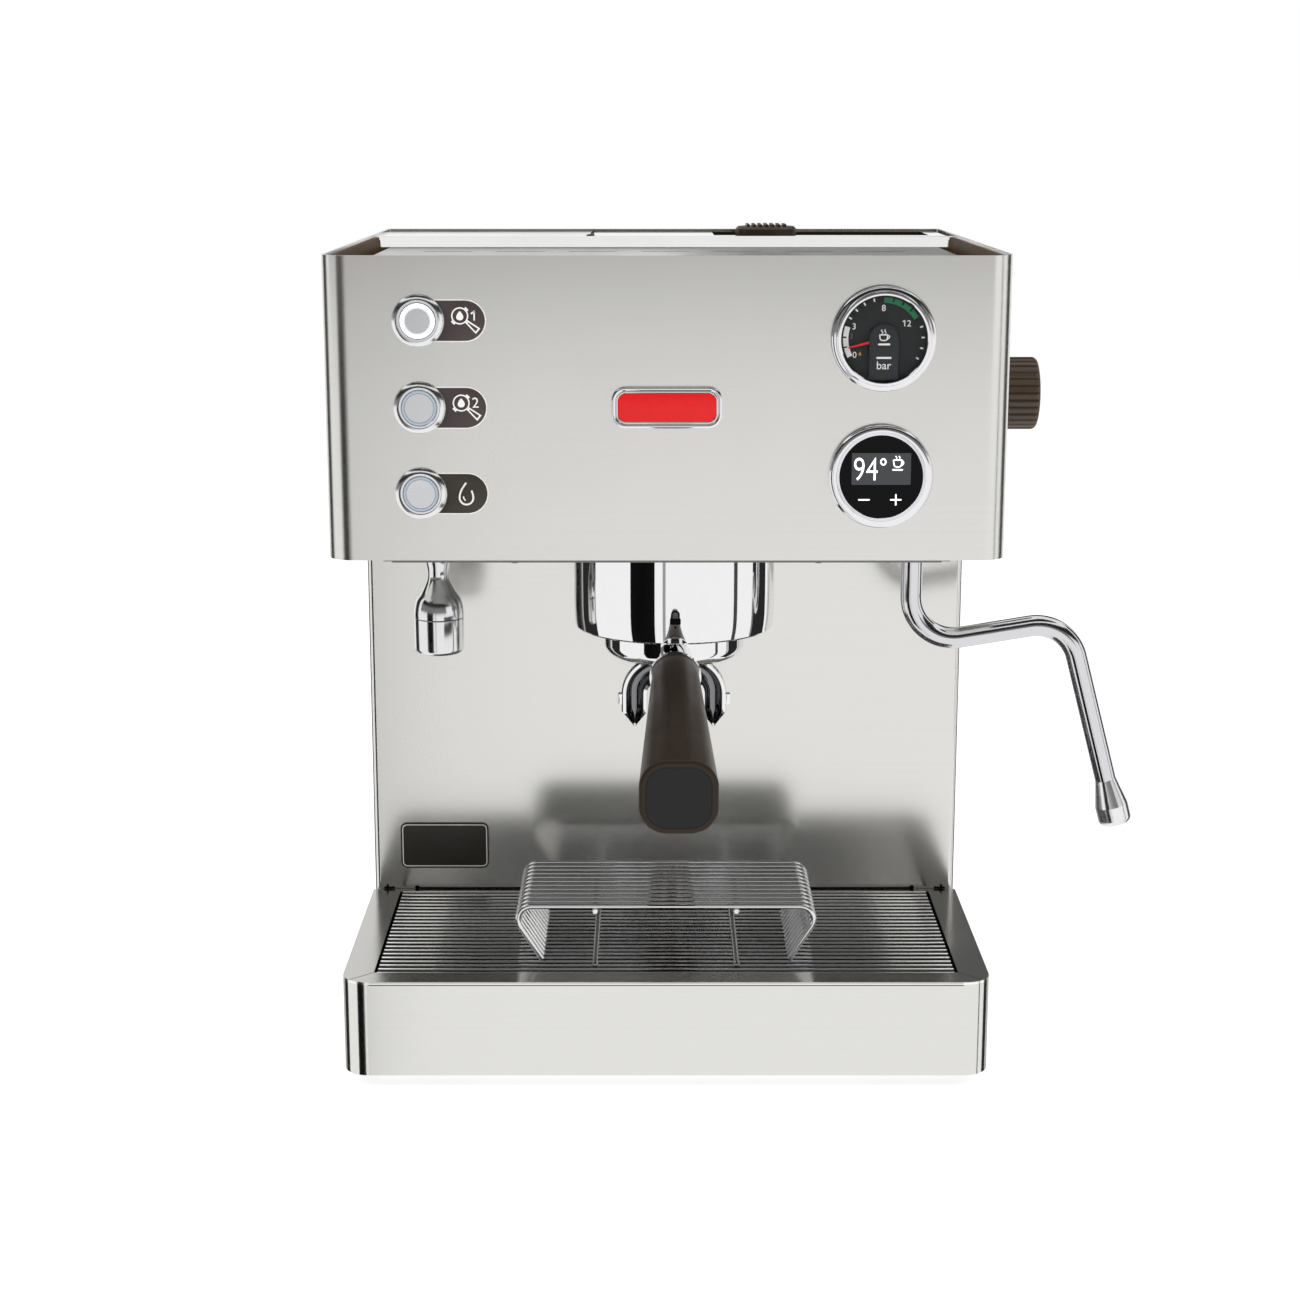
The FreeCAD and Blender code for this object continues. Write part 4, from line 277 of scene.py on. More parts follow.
class Form:
    """Mesh of one piece while it is being shaped, in millimetres."""

    def __init__(self) -> None:
        """Start an empty mesh."""
        self.mesh = bmesh.new()

    def rings(self, loops: Sequence[Sequence[Vector]], closed: bool = False) -> "Form":
        """Skin a row of loops of equal length, and fill the ends of an open row.

        Args:
            loops: Points of each loop in order.
            closed: Whether the last loop joins the first.

        Returns:
            This form.
        """
        rows = [[self.mesh.verts.new(point) for point in loop] for loop in loops]
        pairs = list(zip(rows, rows[1:]))
        if closed:
            pairs.append((rows[-1], rows[0]))
        faces = []
        for low, high in pairs:
            count = len(low)
            for index in range(count):
                after = (index + 1) % count
                faces.append(self.mesh.faces.new((low[index], low[after], high[after], high[index])))
        if not closed:
            faces.append(self.mesh.faces.new(rows[0]))
            faces.append(self.mesh.faces.new(rows[-1]))
        bmesh.ops.recalc_face_normals(self.mesh, faces=faces)
        return self

    def lathe(self, profile: Sequence[Sequence[float]], place: Matrix, closed: bool = False,
              segments: int = 96) -> "Form":
        """Turn a profile of radius and height about the local Z of a placement.

        Args:
            profile: Points of radius and height.
            place: Where the local frame sits.
            closed: Whether the profile is a closed section, as of a ring.
            segments: Edges round the turn.

        Returns:
            This form.
        """
        turn = [2 * math.pi * index / segments for index in range(segments)]
        loops = []
        for reach, height in profile:
            radius = max(reach, SLIM_RADIUS)
            loops.append([place @ Vector((radius * math.cos(a), radius * math.sin(a), height)) for a in turn])
        return self.rings(loops, closed=closed)

    def sweep(self, path: Sequence[Vector], radius: float, sides: int = 20, ease: float = 0.0) -> "Form":
        """Run a round section along a path.

        Args:
            path: Points to follow.
            radius: Radius of the section.
            sides: Edges round the section.
            ease: Width of the bevel on both ends.

        Returns:
            This form.
        """
        onward = (path[1] - path[0]).normalized()
        side = onward.orthogonal().normalized()
        turn = [2 * math.pi * step / sides for step in range(sides)]
        loops = []
        for index, point in enumerate(path):
            ahead = path[min(index + 1, len(path) - 1)]
            behind = path[max(index - 1, 0)]
            course = (ahead - behind).normalized()
            side = onward.rotation_difference(course) @ side
            onward = course
            up = onward.cross(side)
            loops.append([point + (side * math.cos(a) + up * math.sin(a)) * radius for a in turn])
        if ease > 0:
            for place, inward in ((0, path[1] - path[0]), (-1, path[-2] - path[-1])):
                end = path[place]
                nose = [end + (spot - end) * (1 - ease / radius) for spot in loops[place]]
                loops[place] = [spot + inward.normalized() * ease for spot in loops[place]]
                loops.insert(0 if place == 0 else len(loops), nose)
        return self.rings(loops)

    def stroke(self, points: Sequence[Vector], place: Matrix, lift: float, radius: float) -> "Form":
        """Draw a round line through flat points of a face.

        Args:
            points: Points to follow.
            place: Face to draw on.
            lift: Height of the line's middle above the face.
            radius: Radius of the line.

        Returns:
            This form.
        """
        return self.sweep([place @ Vector((p.x, p.y, lift)) for p in points], radius, STROKE_SIDES)

    def plate(self, outline: Sequence[Sequence[float]], place: Matrix, depth: float,
              edge: float = 0.0) -> "Form":
        """Raise a flat outline along the local Z, with an eased front edge.

        Args:
            outline: Points of the closed outline.
            place: Where the local frame sits.
            depth: Height of the plate.
            edge: Width of the bevel on the front edge.

        Returns:
            This form.
        """
        base = [self.mesh.verts.new(place @ Vector((x, y, 0))) for x, y in outline]
        top = [self.mesh.verts.new(place @ Vector((x, y, depth))) for x, y in outline]
        count = len(outline)
        faces = [self.mesh.faces.new(base), self.mesh.faces.new(top)]
        for index in range(count):
            after = (index + 1) % count
            faces.append(self.mesh.faces.new((base[index], base[after], top[after], top[index])))
        bmesh.ops.recalc_face_normals(self.mesh, faces=faces)
        if edge > 0:
            rim = list(faces[1].edges)
            bmesh.ops.bevel(self.mesh, geom=rim, offset=edge, segments=BEVEL_SEGMENTS, affect="EDGES",
                            profile=BEVEL_PROFILE)
        return self

    def border(self, outer: Sequence[Vector], inner: Sequence[Vector], place: Matrix, height: float,
               crown: float = 0.7, steps: int = 16) -> "Form":
        """Raise a border between two outlines of equal length.

        Args:
            outer: Outline of the outside.
            inner: Outline of the inside.
            place: Where the local frame sits.
            height: Rise of the border's middle.
            crown: Fullness of the section, flatter on top as it nears zero.
            steps: Short edges across the border.

        Returns:
            This form.
        """
        loops = []
        for step in range(steps + 1):
            share = step / steps
            rise = height * math.sin(math.pi * share) ** crown
            flats = [a.lerp(b, share) for a, b in zip(outer, inner)]
            loops.append([place @ Vector((p.x, p.y, rise)) for p in flats])
        return self.rings(loops, closed=True)

    def words(self, text: str, size: float, place: Matrix, depth: float,
              weight: float = 0.0) -> "Form":
        """Raise figures or letters, centred on a placement.

        Args:
            text: What to write.
            size: Height of the font's square.
            place: Where the middle of the text sits.
            depth: Height of the figures.
            weight: Extra width of the strokes on each side.

        Returns:
            This form.
        """
        curve = bpy.data.curves.new("figures", "FONT")
        curve.body = text
        curve.size = size
        curve.align_x = "CENTER"
        curve.align_y = "CENTER"
        curve.extrude = depth / 2
        curve.resolution_u = FIGURE_STEPS
        curve.offset = weight
        holder = bpy.data.objects.new("figures", curve)
        bpy.context.scene.collection.objects.link(holder)
        settled = holder.evaluated_get(bpy.context.evaluated_depsgraph_get())
        mesh = bpy.data.meshes.new_from_object(settled)
        mesh.transform(shifted(place, z=depth / 2))
        self.mesh.from_mesh(mesh)
        bpy.data.objects.remove(holder)
        bpy.data.curves.remove(curve)
        bpy.data.meshes.remove(mesh)
        return self

    def add(self, name: str, finish: "Finish", slot: str, body: Body = Body.MACHINE,
            replaces: Iterable[str] = (), sharp: float = SHARP_ANGLE) -> None:
        """Finish the mesh as a piece of the machine.

        Args:
            name: Name of the piece.
            finish: What it is dressed in.
            slot: Material slot of the record that it belongs to; not used.
            body: Body of the frame that carries it.
            replaces: Solids of the frame that it stands for.
            sharp: Least angle in degrees of an edge that stays crisp.
        """
        self.mesh.transform(Matrix.Scale(MM, 4))
        data = bpy.data.meshes.new(name)
        self.mesh.to_mesh(data)
        self.mesh.free()
        data.shade_smooth()
        data.set_sharp_from_angle(angle=math.radians(sharp))
        data.materials.append(finish.material())
        piece = bpy.data.objects.new(name, data)
        bpy.context.scene.collection.objects.link(piece)
        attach(piece, body.value)
        for node in replaces:
            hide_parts(node)
        LOG.info("%s on %s, %d faces", name, body.value, len(data.polygons))


Fill = Callable[[bpy.types.NodeTree, bpy.types.NodeSocket, bpy.types.Node], None]


def node_group(name: str, scale: Sequence[float], outputs: Sequence[str], fill: Fill) -> bpy.types.NodeTree:
    """Make a shader node group once and hand it back on later calls.

    Args:
        name: Name of the group.
        scale: Default of its one input, the waves per metre along X, Y and Z.
        outputs: Names of its number outputs.
        fill: Builds the nodes between the scaled coordinates and the group's output.

    Returns:
        The node group.
    """
    if name in bpy.data.node_groups:
        return bpy.data.node_groups[name]
    tree = bpy.data.node_groups.new(name, "ShaderNodeTree")
    entry = tree.interface.new_socket("Scale", in_out="INPUT", socket_type="NodeSocketVector")
    entry.default_value = scale
    for label in outputs:
        tree.interface.new_socket(label, in_out="OUTPUT", socket_type="NodeSocketFloat")
    given = tree.nodes.new("NodeGroupInput")
    out = tree.nodes.new("NodeGroupOutput")
    fill(tree, scaled_place(tree, given.outputs["Scale"]), out)
    return tree


@dataclass(frozen=True)
class Noise:
    """Settings of a noise texture."""

    scale: float
    detail: float
    warp: float = 0.0

    def lay(self, tree: bpy.types.NodeTree, spot: bpy.types.NodeSocket) -> bpy.types.NodeSocket:
        """Add the texture to a tree.

        Args:
            tree: Tree to add it to.
            spot: Socket of the coordinates.

        Returns:
            Socket of the noise.
        """
        node = tree.nodes.new("ShaderNodeTexNoise")
        node.inputs["Scale"].default_value = self.scale
        node.inputs["Detail"].default_value = self.detail
        node.inputs["Distortion"].default_value = self.warp
        tree.links.new(spot, node.inputs["Vector"])
        return node.outputs["Fac"]


FINE_LINES = Noise(1.0, 3.0)
SLOW_STREAKS = Noise(0.11, 2.0)
BROAD_PATCHES = Noise(1.0, 4.0, 0.6)
PEBBLE_SPECKS = Noise(0.6, 3.0)
PEBBLE_SCALE = 1.0
METAL_PATCHES = 22.0
PLASTIC_PATCHES = 30.0
GLASS_PATCHES = 60.0
PLASTIC_GRAIN = 900.0


def scaled_place(tree: bpy.types.NodeTree, scale: bpy.types.NodeSocket) -> bpy.types.NodeSocket:
    """Multiply the object's coordinates by a scale.

    Args:
        tree: Tree to add the nodes to.
        scale: Socket of the scale.

    Returns:
        Socket of the scaled coordinates.
    """
    place = tree.nodes.new("ShaderNodeTexCoord")
    product = tree.nodes.new("ShaderNodeVectorMath")
    product.operation = "MULTIPLY"
    tree.links.new(place.outputs["Object"], product.inputs[0])
    tree.links.new(scale, product.inputs[1])
    return product.outputs["Vector"]


def brushed_grain() -> bpy.types.NodeTree:
    """Fine lines drawn along a metal: their height, and a slow streak.

    Returns:
        The node group.
    """

    def fill(tree: bpy.types.NodeTree, spot: bpy.types.NodeSocket, out: bpy.types.Node) -> None:
        """Lay the fine noise and the slow noise."""
        tree.links.new(FINE_LINES.lay(tree, spot), out.inputs["Height"])
        tree.links.new(SLOW_STREAKS.lay(tree, spot), out.inputs["Streak"])

    return node_group("brushed_grain", Grain.TURNED.value, ("Height", "Streak"), fill)


def soft_smudge() -> bpy.types.NodeTree:
    """Broad soft patches, as of handling and wiping.

    Returns:
        The node group.
    """

    def fill(tree: bpy.types.NodeTree, spot: bpy.types.NodeSocket, out: bpy.types.Node) -> None:
        """Lay one warped noise."""
        tree.links.new(BROAD_PATCHES.lay(tree, spot), out.inputs["Mask"])

    return node_group("soft_smudge", (METAL_PATCHES,) * 3, ("Mask",), fill)


def moulded_grain() -> bpy.types.NodeTree:
    """Fine pebble of moulded plastic: its height, and a speck.

    Returns:
        The node group.
    """

    def fill(tree: bpy.types.NodeTree, spot: bpy.types.NodeSocket, out: bpy.types.Node) -> None:
        """Lay soft cells and a speckle of noise.

        Args:
            tree: Tree of the group.
            spot: Socket of the scaled coordinates.
            out: Output node of the group.
        """
        cells = tree.nodes.new("ShaderNodeTexVoronoi")
        cells.feature = "SMOOTH_F1"
        cells.inputs["Scale"].default_value = PEBBLE_SCALE
        tree.links.new(spot, cells.inputs["Vector"])
        tree.links.new(cells.outputs["Distance"], out.inputs["Height"])
        tree.links.new(PEBBLE_SPECKS.lay(tree, spot), out.inputs["Speck"])

    return node_group("moulded_grain", (PLASTIC_GRAIN,) * 3, ("Height", "Speck"), fill)


@dataclass
class Shader:
    """A material's node tree while it is being wired."""

    name: str
    material: bpy.types.Material = field(init=False)
    tree: bpy.types.NodeTree = field(init=False)
    surface: bpy.types.Node = field(init=False)

    def __post_init__(self) -> None:
        """Make the material with its Principled surface."""
        self.material = bpy.data.materials.new(self.name)
        self.material.use_nodes = True
        self.tree = self.material.node_tree
        self.surface = self.tree.nodes["Principled BSDF"]

    def set(self, **values: object) -> None:
        """Set constant sockets of the surface; underscores stand for spaces."""
        for label, value in values.items():
            self.surface.inputs[label.replace("_", " ")].default_value = value

    def use(self, group: bpy.types.NodeTree, scale: Sequence[float]) -> bpy.types.Node:
        """Place a node group.

        Args:
            group: The node group.
            scale: Waves per metre along X, Y and Z.

        Returns:
            The node that holds the group.
        """
        node = self.tree.nodes.new("ShaderNodeGroup")
        node.node_tree = group
        node.inputs["Scale"].default_value = scale
        return node

    def patches(self, scale: float) -> bpy.types.NodeSocket:
        """Mask of the wiped patches at a scale in waves per metre."""
        return self.use(soft_smudge(), (scale,) * 3).outputs["Mask"]

    def roughen(self, value: bpy.types.NodeSocket, rough: Flat) -> None:
        """Vary the roughness over a range.

        Args:
            value: Socket that varies about one half.
            rough: Least and most roughness.
        """
        ramp = self.tree.nodes.new("ShaderNodeMapRange")
        ramp.inputs["From Min"].default_value, ramp.inputs["From Max"].default_value = MIDDLE_VALUES
        ramp.inputs["To Min"].default_value, ramp.inputs["To Max"].default_value = rough
        self.tree.links.new(value, ramp.inputs["Value"])
        self.tree.links.new(ramp.outputs["Result"], self.surface.inputs["Roughness"])

    def tint(self, value: bpy.types.NodeSocket, one: Colour, other: Colour) -> None:
        """Vary the base colour between two colours.

        Args:
            value: Socket that varies from none to one.
            one: Colour at none.
            other: Colour at one.
        """
        mix = self.tree.nodes.new("ShaderNodeMix")
        mix.data_type = "RGBA"
        mix.inputs[MIX_ONE].default_value = (*one, 1)
        mix.inputs[MIX_OTHER].default_value = (*other, 1)
        self.tree.links.new(value, mix.inputs[MIX_FACTOR])
        self.tree.links.new(mix.outputs[MIX_RESULT], self.surface.inputs["Base Color"])

    def crest(self, turn: Flat) -> bpy.types.NodeSocket:
        """Mark what faces up; the grid wires take painted shade where it is low.

        Args:
            turn: Heights of the normal at which the mark starts and is full.

        Returns:
            Socket of the mark.
        """
        place = self.tree.nodes.new("ShaderNodeTexCoord")
        parts = self.tree.nodes.new("ShaderNodeSeparateXYZ")
        ramp = self.tree.nodes.new("ShaderNodeMapRange")
        ramp.interpolation_type = "SMOOTHSTEP"
        ramp.inputs["From Min"].default_value, ramp.inputs["From Max"].default_value = turn
        self.tree.links.new(place.outputs["Normal"], parts.inputs["Vector"])
        self.tree.links.new(parts.outputs["Z"], ramp.inputs["Value"])
        return ramp.outputs["Result"]

    def bump(self, height: bpy.types.NodeSocket, depth: float, strength: float) -> None:
        """Raise the surface by a height socket.

        Args:
            height: Socket of the height.
            depth: Distance in metres of a full height.
            strength: Share of the effect that is kept.
        """
        node = self.tree.nodes.new("ShaderNodeBump")
        node.inputs["Strength"].default_value = strength
        node.inputs["Distance"].default_value = depth
        self.tree.links.new(height, node.inputs["Height"])
        self.tree.links.new(node.outputs["Normal"], self.surface.inputs["Normal"])


@dataclass(frozen=True)
class Finish:
    """Something that surfaces are dressed in."""

    name: str

    def material(self) -> bpy.types.Material:
        """Build the material once and hand it back on later calls.

        Returns:
            The material.
        """
        label = f"finish_{self.name}"
        if label in bpy.data.materials:
            return bpy.data.materials[label]
        shader = Shader(label)
        self.wire(shader)
        return shader.material

    def wire(self, shader: Shader) -> None:
        """Set up the shader of the finish.

        Args:
            shader: The new material's shader.
        """
        raise NotImplementedError


@dataclass(frozen=True)
class Metal(Finish):
    """Brushed, turned or polished metal."""

    colour: Colour
    rough: Flat
    grain: Grain
    relief: float = 0.0
    shade: float = 0.02
    depth: float = 0.00002

    def wire(self, shader: Shader) -> None:
        """Draw the grain, its streaks and the wiped patches.

        Args:
            shader: The new material's shader.
        """
        shader.set(Metallic=1.0)
        lines = shader.use(brushed_grain(), self.grain.value)
        shader.tint(lines.outputs["Streak"], *around(self.colour, self.shade))
        shader.roughen(shader.patches(METAL_PATCHES), self.rough)
        if self.relief > 0:
            shader.bump(lines.outputs["Height"], self.depth, self.relief)


@dataclass(frozen=True)
class LevelWire(Finish):
    """Level wire with painted light: bright metal along its crest, painted shade on its sides and underside.
    """

    colour: Colour
    painted_shade: Colour
    rough: Flat
    turn: Flat

    def wire(self, shader: Shader) -> None:
        """Paint shade on the sides and underside and draw the wiped patches.

        Args:
            shader: The new material's shader.
        """
        shader.set(Metallic=1.0)
        # Painted shade: the colour runs from nearly black where the normal points sideways or down to bright
        # metal on the crest.
        shader.tint(shader.crest(self.turn), self.painted_shade, self.colour)
        shader.roughen(shader.patches(METAL_PATCHES), self.rough)


@dataclass(frozen=True)
class Plastic(Finish):
    """Moulded plastic, rubber, paint or print."""

    colour: Colour
    rough: Flat
    grain: float = PLASTIC_GRAIN
    relief: float = 0.12
    shade: float = 0.08
    coat: float = 0.0
    clear: float = 0.0
    gloss: float = 0.4
    depth: float = 0.00005

    def wire(self, shader: Shader) -> None:
        """Draw the moulded pebble and the worn patches.

        Args:
            shader: The new material's shader.
        """
        shader.set(Coat_Weight=self.coat, Transmission_Weight=self.clear, Specular_IOR_Level=self.gloss)
        pebble = shader.use(moulded_grain(), (self.grain,) * 3)
        shader.tint(pebble.outputs["Speck"], *around(self.colour, self.shade))
        shader.roughen(shader.patches(PLASTIC_PATCHES), self.rough)
        shader.bump(pebble.outputs["Height"], self.depth, self.relief)


@dataclass(frozen=True)
class Glow(Finish):
    """Mark that gives off its own light."""

    colour: Colour
    strength: float
    grain: float = 1400.0
    shade: float = 0.05
    rough: Flat = (0.4, 0.5)

    def wire(self, shader: Shader) -> None:
        """Light the mark evenly over a faint speck.

        Args:
            shader: The new material's shader.
        """
        shader.set(Emission_Color=(*self.colour, 1), Emission_Strength=self.strength)
        speck = shader.use(moulded_grain(), (self.grain,) * 3).outputs["Speck"]
        shader.tint(speck, *around(self.colour, self.shade))
        shader.roughen(speck, self.rough)


@dataclass(frozen=True)
class ClearGlass(Finish):
    """Thin clear cover that lets the camera and light through."""

    veil: float
    colour: Colour = (0.02, 0.02, 0.02)
    rough: Flat = (0.03, 0.07)
    depth: float = 0.00001
    relief: float = 0.1

    def wire(self, shader: Shader) -> None:
        """Keep a faint veil with wiped patches.

        Args:
            shader: The new material's shader.
        """
        shader.set(Base_Color=(*self.colour, 1), Alpha=self.veil)
        patches = shader.patches(GLASS_PATCHES)
        shader.roughen(patches, self.rough)
        shader.bump(patches, self.depth, self.relief)


STEEL = (0.755, 0.748, 0.72)
PANEL_STEEL = Metal("panel_steel", STEEL, (0.218, 0.232), Grain.UPRIGHT)
WALL_STEEL = Metal("wall_steel", (0.75, 0.743, 0.715), (0.165, 0.175), Grain.UPRIGHT)
SIDE_STEEL = Metal("side_steel", STEEL, (0.225, 0.245), Grain.UPRIGHT)
LEVEL_STEEL = Metal("level_steel", (0.80, 0.795, 0.78), (0.28, 0.3), Grain.LEVEL)
REAR_STEEL = Metal("rear_steel", (0.84, 0.838, 0.83), (0.1, 0.15), Grain.LEVEL)
SKIRT_STEEL = Metal("skirt_steel", (0.755, 0.75, 0.725), (0.1, 0.12), Grain.UPRIGHT)
FRAME_STEEL = Metal("frame_steel", (0.93, 0.92, 0.88), (0.17, 0.19), Grain.LEVEL)
WIRE_STEEL = Metal("wire_steel", (0.78, 0.78, 0.78), (0.04, 0.08), Grain.TURNED)
# Grid wires: bright metal on the crest, painted shade nearly black on the sides and underside.
GRID_STEEL = LevelWire("grid_steel", (0.97, 0.97, 0.97), (0.006, 0.006, 0.006), (0.07, 0.1), (0.5, 0.72))
# Dark steel of painted shade for the front edge under the head.
SHADE_STRIP_STEEL = Metal("shade_strip_steel", (0.2, 0.2, 0.19), (0.25, 0.3), Grain.LEVEL)
# Dark grey underside plate: partly its own darker finish, partly painted shade under the head.
UNDER_STEEL = Metal("under_steel", (0.3, 0.3, 0.29), (0.3, 0.36), Grain.LEVEL)
ZINC = Metal("galvanised", (0.56, 0.57, 0.58), (0.32, 0.48), Grain.TURNED, 0.2, 0.16)
CHROME = Metal("chrome", (0.86, 0.86, 0.865), (0.02, 0.05), Grain.TURNED)
SATIN_CHROME = Metal("satin_chrome", (0.84, 0.84, 0.85), (0.17, 0.2), Grain.TURNED)
BEZEL_CHROME = Metal("bezel_chrome", (0.84, 0.84, 0.86), (0.08, 0.12), Grain.TURNED)
TUBE_STEEL = Metal("tube_steel", (0.70, 0.70, 0.715), (0.1, 0.15), Grain.TURNED)
SPOUT_STEEL = Metal("spout_steel", (0.78, 0.78, 0.785), (0.12, 0.17), Grain.TURNED)
# Dark steel inside the spout channels: painted dark reflection.
DARK_REFLECTION_STEEL = Metal("channel_painted_reflection", (0.22, 0.22, 0.23), (0.05, 0.1), Grain.TURNED)
BUTTON_STEEL = Metal("cap_steel", (0.8, 0.81, 0.83), (0.24, 0.3), Grain.LEVEL, 0.05)
INNER_STEEL = Metal("inner_metal", (0.58, 0.58, 0.57), (0.22, 0.34), Grain.TURNED, 0.1)
BRASS = Metal("brass", (0.72, 0.55, 0.26), (0.18, 0.3), Grain.TURNED, 0.1)
COPPER = Metal("copper", (0.80, 0.42, 0.28), (0.16, 0.28), Grain.TURNED, 0.1)
BROWN = Plastic("brown", tone("291f14"), (0.3, 0.4), gloss=0.25)
KNOB_BROWN = Plastic("knob_brown", tone("4a3d31"), (0.3, 0.4))
RAIL_BROWN = Plastic("rail_brown", tone("56432f"), (0.5, 0.6), gloss=0.1)
CAP_BLACK = Plastic("end_cap", tone("1f1f20"), (0.35, 0.45), gloss=0.2)
DARK = Plastic("dark", tone("151413"), (0.35, 0.5), gloss=0.3)
LID_BROWN = Plastic("lid_brown", tone("30261d"), (0.1, 0.16), relief=0.02, coat=1.0, gloss=0.5)
CAP_BROWN = Plastic("cap_brown", tone("3a2d22"), (0.3, 0.4))
TANK_CLEAR = Plastic("tank_clear", (0.86, 0.88, 0.89), (0.14, 0.22), relief=0.03, clear=0.85)
RUBBER = Plastic("rubber", tone("1c1c1c"), (0.55, 0.7), 700.0, 0.25)
PUMP_BODY = Plastic("pump_grey", tone("8d8a80"), (0.4, 0.55))
BOARD = Plastic("board_green", tone("1d5a36"), (0.35, 0.5))
DIAL_BLACK = Plastic("dial", tone("2b2d2e"), (0.5, 0.6), 1500.0, 0.08, gloss=0.2)
DIAL_COVER = Plastic("dial_cover", tone("313335"), (0.45, 0.55), 1500.0, 0.08, gloss=0.2)
NEEDLE_RED = Plastic("needle", tone("e0181e"), (0.35, 0.45))
BADGE_RED = Plastic("badge_red", tone("e02224"), (0.2, 0.28), relief=0.02, gloss=0.2)
PILL_BROWN = Plastic("pill_brown", tone("453b3b"), (0.3, 0.4), relief=0.04)
PILL_OLIVE = Plastic("pill_olive", tone("37312a"), (0.3, 0.4), relief=0.04)
PLATE_DARK = Plastic("plate_dark", tone("2b2722"), (0.3, 0.4), relief=0.04)
PALE_PRINT = Plastic("pale_print", tone("f4f3f0"), (0.4, 0.5), relief=0.02)
DIM_PRINT = Plastic("dim_print", tone("6a6d6e"), (0.4, 0.5), relief=0.02)
GREEN_PRINT = Plastic("green_print", tone("23794f"), (0.4, 0.5), relief=0.02)
OCHRE_PRINT = Plastic("ochre_print", tone("b98d2f"), (0.4, 0.5), relief=0.02)
BLACK_PRINT = Plastic("black_print", tone("080808"), (0.4, 0.5), relief=0.02, gloss=0.05)
SCREEN_GREY = Plastic("screen_grey", tone("3b3d40"), (0.2, 0.28), relief=0.02)
GLASS_BLACK = Plastic("black_glass", tone("060607"), (0.03, 0.06), relief=0.01, gloss=0.1)
RING_BLUE = Plastic("ring_blue", tone("aebac6"), (0.35, 0.45), relief=0.03)
LIT_WHITE = Glow("lit_white", (1.0, 1.0, 1.0), 1.0)
LIT_SOFT = Glow("lit_soft", (0.62, 0.64, 0.66), 0.45)
RING_EDGE = Plastic("ring_edge", tone("73808d"), (0.35, 0.45), relief=0.03)
SCREEN_WHITE = Glow("screen_white", (0.96, 0.97, 1.0), 0.9)
GAUGE_GLASS = ClearGlass("gauge_cover", 0.05)


def teardrop(width: float, height: float, x: float, y: float, steps: int = 40) -> list[Vector]:
    """Draw the outline of a drop, its tip upward.

    Args:
        width: Width of the drop.
        height: Height from tip to foot.
        x: Middle of the drop, to the right.
        y: Middle of the drop, upward.
        steps: Edges of the outline.

    Returns:
        Points of the outline, from the tip round.
    """
    points = []
    for step in range(steps):
        angle = 2 * math.pi * step / steps
        side = -width * DROP_FULLNESS * math.sin(angle) * math.sin(angle / 2)
        points.append(Vector((x + side, y + height / 2 * math.cos(angle))))
    return points


def tapered(start: Flat, angle: float, length: float, near: float, far: float) -> list[Vector]:
    """Outline of a bar from a start point, its width changing from near to far.

    Args:
        start: Middle of the near end.
        angle: Heading in degrees.
        length: Length of the bar.
        near: Width at the start.
        far: Width at the far end.

    Returns:
        Points of the outline.
    """
    onward = heading(angle)
    side = Vector((-onward.y, onward.x))
    base = Vector(start)
    tip = base + onward * length
    return [base - side * near / 2, tip - side * far / 2, tip + side * far / 2, base + side * near / 2]


def ring_section(inner: float, outer: float, low: float, high: float, edge: float = 0.0) -> list[Vector]:
    """Closed section of a flat ring with eased front edges."""
    corners = [(inner, low, 0.0), (outer, low, 0.0), (outer, high, edge), (inner, high, edge)]
    return eased(corners, True, RING_EDGE_STEPS)


def dome(radius: float, rise: float) -> list[Vector]:
    """Profile of a screw's domed head, from its rim to its top."""
    return [Vector((radius * p.x, rise * p.y)) for p in arc(1.0, 0.0, 90.0, DOME_STEPS)]


@dataclass(frozen=True)
class CupSign:
    """Steaming cup seen from the side, drawn in strokes."""

    bowl: tuple[Cornered, ...]
    ear: tuple[Cornered, ...]
    steam_x: Flat
    steam_low: float
    steam_step: float
    steam_sway: float
    steam_points: int
    lines: Cornered
    steam_turn: float = 1.6

    def draw(self, form: Form, place: Matrix, lift: float) -> None:
        """Draw the cup's bowl, rim and ear, and its steam.

        Args:
            form: Mesh to add it to.
            place: Face to draw on.
            lift: Height of the strokes' middle above the face.
        """
        bowl_line, ear_line, steam_line = self.lines
        bowl = eased(self.bowl, False)
        form.stroke(bowl, place, lift, bowl_line)
        form.stroke([bowl[0], bowl[-1]], place, lift, bowl_line)
        form.stroke(eased(self.ear, False), place, lift, ear_line)
        for x in self.steam_x:
            steam = [Vector((x + self.steam_sway * math.sin(t * self.steam_turn),
                             self.steam_low + self.steam_step * t)) for t in range(self.steam_points)]
            form.stroke(steam, place, lift, steam_line)


